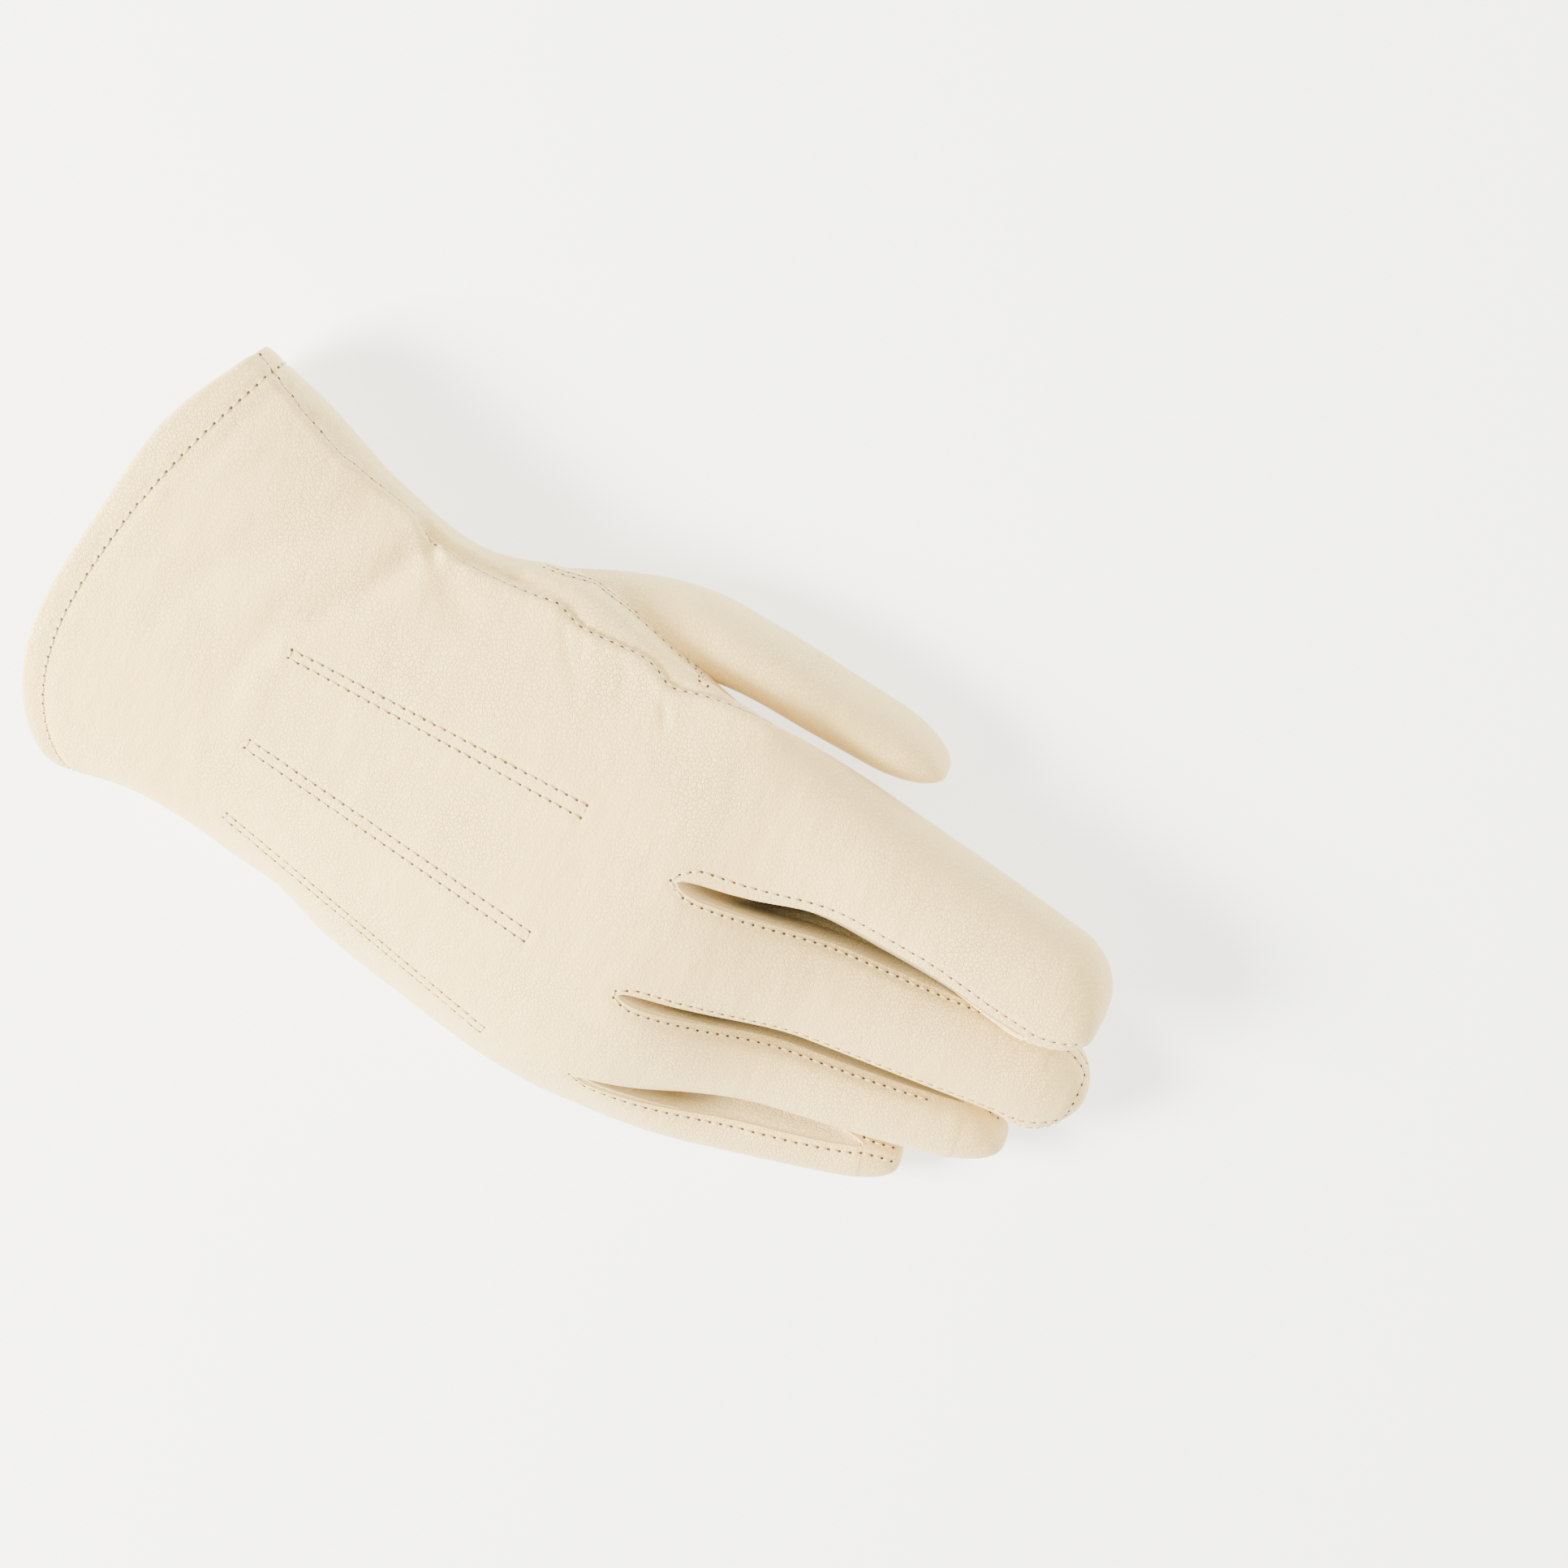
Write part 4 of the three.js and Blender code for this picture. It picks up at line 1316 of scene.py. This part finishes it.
@dataclass
class Fourchette:
    """A forked strip between two fingers, tucked under the edges of the trank, with painted shade in
    its fold.
    """

    form: GloveForm
    k: int
    tuck: float = 2.6
    sunk: float = 1.25
    away_depth: float = 2.8
    facing_depth: float = 1.7
    wall: float = 0.9
    rows: int = 80
    columns: int = 14
    last_share: float = 0.995
    even_share: float = 0.8
    fold_fades: float = 0.7
    fold_shape: float = 0.6
    low_begins: float = 0.4
    low_run: float = 0.56
    # where the painted shade in the fold starts along the strip, how fast it grows, and how strong it
    # is
    shade_begins: float = 0.06
    shade_run: float = 0.12
    shaded: float = 1.0
    closing: float = 0.0

    def down(self) -> Points:
        """The columns between the back's seam and the palm's, from 0 to 1."""
        return np.linspace(0, 1, self.columns + 2)[1:-1]

    def tucked(self, finger: int, side: Side, face: Face, at: Points) -> list[Points]:
        """The strip's columns under an edge of the trank.

        Args:
            finger: the finger.
            side: which of its sides.
            face: back or palm.
            at: shares of the finger's length.

        Returns:
            The column at the edge, one half way in and the last one.
        """
        trank = self.form.trank
        half = trank(finger, face, at, 0.5) - trank(finger, face, at, side.value * 1.0)
        width = PANEL * np.linalg.norm(half, axis=-1)
        columns = []
        for amount in (0.0, 0.5, 1.0):
            inset = np.clip(amount * self.tuck / width, 0, 0.4)
            across = inset if side is Side.THUMB else 1 - inset
            safe = np.clip(across, 0.002, 0.998)
            out = -face.value * normals_of(lambda u, v: trank(finger, face, u, v), at, safe)
            columns.append(trank(finger, face, at, across) - out * self.sunk)
        return columns

    def leg(self, finger: int, side: Side, fine: float) -> Points:
        """Rows of the strip along one finger.

        Args:
            finger: the finger.
            side: which of its sides.
            fine: how fine the grid is.

        Returns:
            Rows of points, from the crotch to the strip's end.
        """
        form = self.form
        slit = form.fork_drop / form.fingers[finger].length
        stop = form.fork_end * self.last_share
        rows = int(self.rows * fine)
        closer = np.sin(np.linspace(0, math.pi / 2, rows // 3))[1:]
        even = np.linspace(0, self.even_share, rows)
        share = np.concatenate([even, mix(self.even_share, 1, closer)]) * stop
        palm = mix(slit, stop, share / stop)
        back = self.tucked(finger, side, Face.BACK, share)
        front = self.tucked(finger, side, Face.PALM, palm)
        down = self.down()
        between = form.fork(finger, side, share[:, None], palm[:, None], down[None, :])
        high = form.fork(finger, side, share, palm, np.zeros(share.shape))
        low = form.fork(finger, side, share, palm, np.ones(share.shape))
        down = down[None, :, None]
        inward = unit(mix((back[0] - high)[:, None, :], (front[0] - low)[:, None, :], down))
        begun = ease(share * form.fingers[finger].length / form.slit_start)[:, None, None]
        part = begun * round_off(share / stop, self.fold_fades, 1.0)[:, None, None]
        fold = np.sin(math.pi * down) ** self.fold_shape * part
        low_fold = np.sin(math.pi * clamp((down - self.low_begins) / self.low_run)) * part
        depth = self.away_depth if side is Side.LITTLE else self.facing_depth
        shut = self.closing if side is Side.THUMB else 0.0
        between = between + inward * (self.sunk + (depth - self.sunk) * fold - shut * low_fold)
        return np.concatenate([np.stack(back[::-1], 1), between, np.stack(front, 1)], axis=1)

    def build(self, fine: float) -> bpy.types.Object:
        """Makes the strip: up one finger, round the crotch and up the other.

        Args:
            fine: how fine its grid is, 1 for the full one.

        Returns:
            The piece, with how much painted shade each point takes in the fold as its attribute.
        """
        skin, fingers = Skin(), self.form.fingers
        low = self.leg(self.k, Side.LITTLE, fine)
        high = self.leg(self.k + 1, Side.THUMB, fine)
        crotch = mix(low[0], high[0], 0.5)[None]
        rows = np.concatenate([low[:0:-1], crotch, high[1:]])
        skin.grid(self.form.placed(rows))
        points, faces = skin.merged()
        points[:, 2] = np.maximum(points[:, 2], 0.0)
        name = f"fourchette_{fingers[self.k].name}_{fingers[self.k + 1].name}_strip"
        piece = new_piece(name, points, faces)
        # painted shade: the fold attribute is highest in the middle of the strip, away from the
        # crotch, and darkens the colour there for the shade in the fold
        across = np.concatenate([np.zeros(3), np.sin(math.pi * self.down()) ** 0.5, np.zeros(3)])
        from_crotch = np.abs(np.arange(len(rows)) - (len(low) - 1)) / (self.rows * fine)
        along = ease((from_crotch - self.shade_begins) / self.shade_run)
        deep = (along[:, None] * across[None, :] * self.shaded).reshape(-1)[skin.first]
        layer = piece.data.attributes.new("fold", "FLOAT", "POINT")
        layer.data.foreach_set("value", deep.astype(np.float32))
        give_wall(piece, self.wall)
        return piece


@dataclass
class Thumb:
    """The thumb's own tube, set into the side of the hand."""

    form: GloveForm
    rows: int = 110
    end_rows: int = 24
    columns: int = 84
    first_share: float = 0.02
    open_depth: float = 1.5
    margin: float = 1.6
    join_shares: tuple[float, float, int] = (0.04, 0.75, 143)
    join_turns: tuple[float, float, int] = (-40, 220, 66)
    join_clear: float = 4.0
    join_floor: float = 2.0
    join_least: int = 4

    def sheet(self, fine: float, first: float) -> Sheet:
        """The thumb's outer surface, closed at both ends when it starts at its root.

        Args:
            fine: how fine its grid is, 1 for the full one.
            first: the share of its length where it starts.

        Returns:
            Its points in mm and its faces.
        """
        form, skin = self.form, Skin()
        body = np.linspace(first, 1 - form.thumb_rounding, int(self.rows * fine))
        end = np.sin(np.linspace(0, math.pi / 2 - 0.02, int(self.end_rows * fine)))[1:]
        shares = np.concatenate([body, mix(1 - form.thumb_rounding, 1, end)])
        turns = np.linspace(0, 360, int(self.columns * fine) + 1)
        rows = form.placed(form.thumb(shares[:, None], turns[None, :]))
        skin.grid(rows)
        skin.cap(rows[-1, :-1], rows[-1, :-1].mean(axis=0))
        if first == 0:
            skin.cap(rows[0, :-1][::-1], rows[0, :-1].mean(axis=0))
        return skin.merged()

    def join_rows(self, hand: BVHTree, seams: SeamPlan) -> list[StitchRow]:
        """The row round the thumb's root, where the rows drawn on the back don't reach.

        Args:
            hand: the hand's surface.
            seams: the rows drawn on the back.

        Returns:
            The rows.
        """
        shares = np.linspace(*self.join_shares)
        ring = []
        for turn in np.linspace(*self.join_turns):
            points = self.form.placed(self.form.thumb(shares, np.full(shares.shape, turn)))
            out = depths(points, hand) < 0
            first = int(np.argmax(out)) if out.any() else len(out) - 1
            ring.append(points[first])
        ring = np.array(ring)
        drawn, _, _ = Polyline.through(seams.thumb_seam).distances(ring)
        free = (drawn > self.join_clear) & (ring[:, 2] > self.join_floor)
        rows, start = [], None
        for i, on in enumerate([*free, False]):
            if on and start is None:
                start = i
            if not on and start is not None:
                if i - start > self.join_least:
                    part = ring[start:i] - np.array([self.margin, 0.0, 0.0])
                    rows.append(StitchRow(f"thumb_join_{start}", Polyline.through(part, 0.8)))
                start = None
        return rows

    def build(self, fine: float, hand: BVHTree) -> bpy.types.Object:
        """Makes the thumb, open where it meets the hand.

        Args:
            fine: how fine its grid is, 1 for the full one.
            hand: the hand's surface.

        Returns:
            The piece.
        """
        points, faces = self.sheet(fine, self.first_share)
        inside = depths(points, hand) > self.open_depth
        piece = new_piece("thumb_skin", *without(points, faces, inside))
        give_wall(piece, self.form.leather)
        return piece


class NodeSketch:
    """A material in the making: nodes whose inputs are values or other nodes' outputs."""

    def __init__(self, name: str, roughness: float, specular: float) -> None:
        """Starts a material with its shader.

        Args:
            name: the material's name.
            roughness: the shader's roughness.
            specular: its specular level.
        """
        self.material = bpy.data.materials.new(name)
        self.material.use_nodes = True
        self.tree = self.material.node_tree
        self.shader = self.tree.nodes["Principled BSDF"]
        self.give(self.shader, {"Roughness": roughness, "Specular IOR Level": specular})
        self.place = self.node("TexCoord").outputs["Object"]

    def give(self, node: bpy.types.Node, inputs: dict[str | int, Input]) -> None:
        """Sets or links inputs of a node.

        Args:
            node: the node.
            inputs: a value or another node's output for each input's name or number.
        """
        for key, value in inputs.items():
            if isinstance(value, bpy.types.NodeSocket):
                self.tree.links.new(value, node.inputs[key])
            else:
                node.inputs[key].default_value = value

    def node(
        self, kind: str, inputs: dict[str | int, Input] | None = None, **settings: str
    ) -> bpy.types.Node:
        """Adds a node.

        Args:
            kind: its type, without the word for a shader node.
            inputs: its inputs.
            settings: its own settings.

        Returns:
            The node.
        """
        node = self.tree.nodes.new(f"ShaderNode{kind}")
        for key, value in settings.items():
            setattr(node, key, value)
        self.give(node, inputs or {})
        return node

    def maths(self, kind: str, a: Input, b: Input) -> bpy.types.NodeSocket:
        """One step of arithmetic on two inputs."""
        return self.node("Math", {0: a, 1: b}, operation=kind).outputs[0]

    def mixed(self, share: Input, low: Input, high: Input) -> bpy.types.NodeSocket:
        """A colour between two."""
        return self.node("Mix", {0: share, 6: low, 7: high}, data_type="RGBA").outputs[2]

    def ranged(self, value: Input, **limits: float) -> bpy.types.NodeSocket:
        """A value moved from one range to another; from_max is the input From Max, and so on."""
        named = {key.replace("_", " ").title(): limit for key, limit in limits.items()}
        return self.node("MapRange", {**named, "Value": value}).outputs[0]

    def noise(
        self, scale: float, detail: float, stretch: Colour = (1, 1, 1), turn: float = 0.0
    ) -> bpy.types.Node:
        """A noise on the piece's own coordinates.

        Args:
            scale: its scale.
            detail: its detail.
            stretch: how the coordinates are stretched.
            turn: how they are turned, in radians.

        Returns:
            The noise's node.
        """
        mapping = {"Scale": stretch, "Rotation": (0, 0, turn), "Vector": self.place}
        spot = self.node("Mapping", mapping).outputs[0]
        return self.node("TexNoise", {"Scale": scale, "Detail": detail, "Vector": spot})


@dataclass(frozen=True)
class LeatherFinish:
    """Smooth glove leather: colours in linear light, grain and sheen.

    The optional dark colour at the end is painted shade, mixed in at the bottom of a strip's fold, for
    the pieces that have that attribute.
    """

    name: str = "cream_leather"
    base: Colour = (0.91, 0.715, 0.33)
    shade: Colour = (0.865, 0.665, 0.29)
    pore: Colour = (0.62, 0.45, 0.24)
    roughness: float = 0.52
    specular: float = 0.35
    sheen: float = 0.12
    cells: float = 950
    bend: float = 0.0009
    pebble_height: float = 0.42
    fine_height: float = 0.3
    fold_height: float = 2.2
    bump: float = 0.00035
    # painted shade colour for the bottom of the fourchettes' folds
    deep: Colour | None = None

    def make(self) -> bpy.types.Material:
        """Makes the material from its nodes.

        Returns:
            The material.
        """
        sketch = NodeSketch(self.name, self.roughness, self.specular)
        warp = sketch.noise(400, 1).outputs["Color"]
        small = sketch.node("VectorMath", {0: warp, "Scale": self.bend}, operation="SCALE")
        bent = sketch.node("VectorMath", {0: sketch.place, 1: small.outputs[0]}, operation="ADD")
        cells = sketch.node(
            "TexVoronoi", {"Scale": self.cells, "Vector": bent.outputs[0]}, feature="DISTANCE_TO_EDGE"
        )
        crack = sketch.ranged(cells.outputs["Distance"], from_max=0.12)
        fine, broad = sketch.noise(1500, 3).outputs[0], sketch.noise(38, 3).outputs[0]
        folds = sketch.noise(130, 4, (1.0, 0.35, 1.0), 0.6).outputs[0]
        strength = sketch.ranged(broad, from_min=0.35, from_max=0.7, to_min=0.25)
        height = sketch.maths("ADD", sketch.maths(
            "MULTIPLY", sketch.maths("MULTIPLY", crack, strength), self.pebble_height
        ), sketch.maths("MULTIPLY", fine, self.fine_height))
        height = sketch.maths("ADD", height, sketch.maths("MULTIPLY", folds, self.fold_height))
        bump = sketch.node("Bump", {"Strength": 1.0, "Distance": self.bump, "Height": height})
        mottle = sketch.ranged(broad, from_min=0.3, from_max=0.6)
        tone = sketch.mixed(mottle, (*self.shade, 1), (*self.base, 1))
        colour = sketch.mixed(sketch.ranged(crack, to_min=0.82), (*self.pore, 1), tone)
        # painted shade: the fold attribute pulls the colour towards the dark colour, for the shade in
        # the fourchettes' folds
        if self.deep:
            fold = sketch.node("Attribute", attribute_name="fold").outputs["Fac"]
            shadow = sketch.ranged(fold, from_min=0.35, from_max=0.95, to_max=0.85)
            colour = sketch.mixed(shadow, colour, (*self.deep, 1))
        sketch.give(sketch.shader, {
            "Sheen Weight": self.sheen, "Sheen Roughness": 0.5,
            "Normal": bump.outputs[0], "Base Color": colour,
        })
        return sketch.material


@dataclass(frozen=True)
class PlainFinish:
    """A small or plain thing's finish, with a faint variation of its tone."""

    name: str
    base: Colour
    roughness: float = 0.7
    scale: float = 900
    vary: float = 0.85
    glow: float = 0.0

    def make(self) -> bpy.types.Material:
        """Makes the material from its nodes.

        Returns:
            The material.
        """
        sketch = NodeSketch(self.name, self.roughness, 0.25)
        texture = sketch.node("TexNoise", {"Scale": self.scale, "Vector": sketch.place})
        dim = (*[c * self.vary for c in self.base], 1)
        tone = sketch.mixed(texture.outputs[0], dim, (*self.base, 1))
        sketch.give(sketch.shader, {
            "Emission Color": (1, 1, 1, 1), "Emission Strength": self.glow, "Base Color": tone,
        })
        return sketch.material


@dataclass
class Stitching:
    """Short thread stitches with a needle hole at each end, drawn as a small dark disc of painted
    shade.
    """

    pitch: float = 2.6
    thread: float = 0.6
    stitch: float = 1.75
    hole: float = 0.85
    hole_width: float = 0.68
    hole_depth: float = 0.16
    thread_faces: tuple[int, int] = (7, 6)
    hole_faces: tuple[int, int] = (8, 4)
    end_gap: float = 0.12
    look: float = 0.3
    thread_lift: float = 0.1
    hole_lift: float = 0.02

    @staticmethod
    def template(name: str, segments: int, rings: int, size: tuple[float, float, float]) -> Sheet:
        """A small rounded body, modelled once and then copied.

        Args:
            name: its name while it is made.
            segments: faces round it.
            rings: faces along it.
            size: its length, width and height in mm.

        Returns:
            Its points in mm and its faces.
        """
        bpy.ops.object.select_all(action="DESELECT")
        bpy.ops.mesh.primitive_uv_sphere_add(segments=segments, ring_count=rings, radius=0.5)
        body = bpy.context.active_object
        body.name = name
        bpy.ops.object.mode_set(mode="EDIT")
        bpy.ops.mesh.select_all(action="SELECT")
        bpy.ops.transform.resize(value=size)
        bpy.ops.object.mode_set(mode="OBJECT")
        points = np.array([tuple(v.co) for v in body.data.vertices])
        faces = [tuple(f.vertices) for f in body.data.polygons]
        bpy.data.objects.remove(body, do_unlink=True)
        return points, faces

    @staticmethod
    def copies(template: Sheet, places: Points, runs: Points, ups: Points) -> Sheet:
        """Copies of a template at many places.

        Args:
            template: the template's points and faces.
            places: where the copies go.
            runs: the direction along each.
            ups: the direction out of the leather at each.

        Returns:
            The copies' points and faces.
        """
        points, faces = template
        sides = unit(np.cross(ups, runs))
        ups = unit(np.cross(runs, sides))
        basis = np.stack([runs, sides, ups], axis=1)
        every = np.einsum("vi,nij->nvj", points, basis) + places[:, None, :]
        count = len(points)
        made = [tuple(i + n * count for i in face) for n in range(len(places)) for face in faces]
        return every.reshape(-1, 3), made

    def build(self, name: str, rows: Sequence[StitchRow], tree: BVHTree) -> list[bpy.types.Object]:
        """Sews rows of stitches onto a surface.

        Args:
            name: the seam's name.
            rows: its rows.
            tree: the surface.

        Returns:
            The thread, and a small dark disc of painted shade at each needle hole.
        """
        threads: list[tuple[Points, Points, Points]] = []
        holes: list[tuple[Points, Points, Points]] = []
        for row in rows:
            total = row.line.lengths[-1]
            count = max(1, round(total / self.pitch))
            step = total / count

            def surface(at: float) -> tuple[Points, Points]:
                """A place on the surface and its direction out, at a length along the row."""
                hit, normal, _, _ = tree.find_nearest(Vector(row.line.at(np.array([at]))[0]))
                return np.array(hit), np.array(normal)

            for i in range(count):
                a, na = surface((i + self.end_gap) * step)
                b, nb = surface((i + 1 - self.end_gap) * step)
                out = unit((na + nb)[None])[0]
                threads.append(((a + b) / 2 + out * self.thread_lift, b - a, out))
            # painted shade: a dark disc at each real needle hole stands in for the shade inside the
            # hole
            for i in range(count + 1):
                a, na = surface(min(max(i * step, 0.01), total - 0.01))
                b, _ = surface(min(i * step + self.look, total))
                c, _ = surface(max(i * step - self.look, 0.0))
                holes.append((a + na * self.hole_lift, b - c, na))
        round_thread = (self.stitch, self.thread, self.thread)
        flat_hole = (self.hole, self.hole_width, self.hole_depth)
        thread = self.template("stitch", *self.thread_faces, round_thread)
        hole = self.template("needle_hole", *self.hole_faces, flat_hole)
        made = []
        for label, body, spots in (("thread", thread, threads), ("holes", hole, holes)):
            places, runs, ups = (np.array(column) for column in zip(*spots))
            points, faces = self.copies(body, places, unit(runs), unit(ups))
            points[:, 2] = np.maximum(points[:, 2], 0.0)
            piece = new_piece(f"{name}_{label}", points, faces)
            only(piece)
            bpy.ops.object.shade_smooth()
            made.append(piece)
        return made


@dataclass(frozen=True)
class Studio:
    """The plain pale floor, the soft lights and the camera.

    Each lamp has a name, a place in metres, a side in metres and a power.
    """

    lamps: tuple[tuple[str, tuple[float, float, float], float, float], ...] = (
        ("key", (-1.2, -0.6, 0.9), 0.7, 170),
        ("fill", (0.8, 0.9, 1.3), 1.4, 24),
    )
    lens: float = 115
    tilt: float = 20
    roll: float = 28
    floor_size: float = 60
    floor_tone: Colour = (0.80, 0.88, 1.0)
    floor_glow: float = 1.6
    light_tone: Colour = (1.0, 0.905, 0.7)
    sky: tuple[float, float, float, float] = (1, 0.905, 0.72, 1)
    sky_strength: float = 1.55

    def build(self) -> None:
        """Lays the floor, hangs the lights and sets the camera."""
        bpy.ops.object.select_all(action="DESELECT")
        bpy.ops.mesh.primitive_plane_add(size=self.floor_size, location=(0, 0, 0))
        floor = bpy.context.active_object
        floor.name = "floor"
        pale = PlainFinish("pale_floor", self.floor_tone, 0.9, 3, 0.99, self.floor_glow)
        floor.data.materials.append(pale.make())
        world = bpy.data.worlds.new("studio")
        world.use_nodes = True
        background = world.node_tree.nodes["Background"]
        background.inputs["Color"].default_value = self.sky
        background.inputs["Strength"].default_value = self.sky_strength
        bpy.context.scene.world = world
        for lamp in self.lamps:
            self.lamp(*lamp)
        tilt, roll = math.radians(self.tilt), math.radians(self.roll)
        level, steep = math.cos(tilt), math.sin(tilt)
        right = Vector((math.cos(roll), math.sin(roll) * level, -math.sin(roll) * steep))
        up = Vector((-math.sin(roll), math.cos(roll) * level, -math.cos(roll) * steep))
        back = Vector((0, steep, level))
        lens = bpy.data.cameras.new("camera")
        lens.lens, lens.sensor_width = self.lens, 36
        lens.clip_start, lens.clip_end = 0.05, 20
        eye = bpy.data.objects.new("camera", lens)
        turn = Matrix((right, up, back)).transposed().to_4x4()
        eye.matrix_world = Matrix.Translation(EYE * MM) @ turn
        bpy.context.scene.collection.objects.link(eye)
        bpy.context.scene.camera = eye

    def lamp(self, name: str, place: tuple[float, float, float], size: float, watts: float) -> None:
        """Hangs one soft light that faces the glove.

        Args:
            name: its name.
            place: where it hangs, in metres.
            size: its side in metres.
            watts: its power.
        """
        light = bpy.data.lights.new(name, "AREA")
        light.energy, light.size = watts, size
        light.color = self.light_tone
        lamp = bpy.data.objects.new(name, light)
        lamp.location = place
        lamp.rotation_euler = (-Vector(place)).to_track_quat("-Z", "Y").to_euler()
        bpy.context.scene.collection.objects.link(lamp)


@dataclass
class Glove:
    """The whole glove."""

    form: GloveForm = field(default_factory=GloveForm)
    quick_fineness: float = 0.55
    # how strong the painted shade is in each strip's fold
    strip_shades: tuple[float, ...] = (1.0, 0.85, 0.45)
    strip_closings: tuple[float, ...] = (2.6, 0.0, 0.0)

    @staticmethod
    def finish(
        piece: bpy.types.Object, material: bpy.types.Material, slot: str, *nodes: str
    ) -> None:
        """Dresses a piece, hangs it under the root and hides the solids that it replaces.

        Args:
            piece: the piece.
            material: its material.
            slot: not used.
            nodes: the solids that it replaces.
        """
        piece.data.materials.append(material)
        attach(piece, "root")
        if nodes:
            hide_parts(*nodes)
        LOG.info("%s: %d faces", piece.name, len(piece.data.polygons))

    def build(self) -> None:
        """Makes every piece of the glove."""
        fine = 1.0
        seams = SeamPlan(self.form)
        leather = LeatherFinish().make()
        # painted shade: the fourchettes get a darker copy of the cream leather for the shade between
        # the fingers, with painted shade in their folds as well
        inner = LeatherFinish(
            "fold_leather", (0.78, 0.64, 0.36), (0.70, 0.57, 0.31), deep=(0.16, 0.125, 0.06)
        ).make()
        thread = PlainFinish("cream_thread", (0.82, 0.67, 0.42), 0.6, 2500).make()
        # painted shade: the dark colour of the needle hole discs, for the shade inside the real holes
        hole = PlainFinish("needle_hole_shade", (0.09, 0.065, 0.03), 0.9, 2500).make()
        trank, thumb = Trank(self.form, seams), Thumb(self.form)
        self.finish(trank.build(fine, thumb), leather, "leather", "trank")
        for k, node in enumerate(("index_middle", "middle_ring", "ring_little")):
            shaded, closing = self.strip_shades[k], self.strip_closings[k]
            strip = Fourchette(self.form, k, shaded=shaded, closing=closing).build(fine)
            self.finish(strip, inner, "fourchette_leather", f"fourchette_{node}")
        self.finish(thumb.build(fine, trank.tree), leather, "leather", "thumb")
        groups: dict[str, list[StitchRow]] = {}
        for row in trank.rows:
            words = [*row.name.split("_"), "row"]
            groups.setdefault("_".join(words[:2]), []).append(row)
        for name, rows in groups.items():
            sewn, holes = Stitching().build(f"stitches_{name}", rows, trank.tree)
            self.finish(sewn, thread, "leather")
            self.finish(holes, hole, "fourchette_leather")


def main() -> None:
    """Builds the glove and the studio round it."""
    logging.basicConfig(level=logging.INFO, format="%(name)s: %(message)s")
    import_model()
    Studio().build()
    Glove().build()
    bpy.context.view_layer.update()


if __name__ == "__main__":
    main()
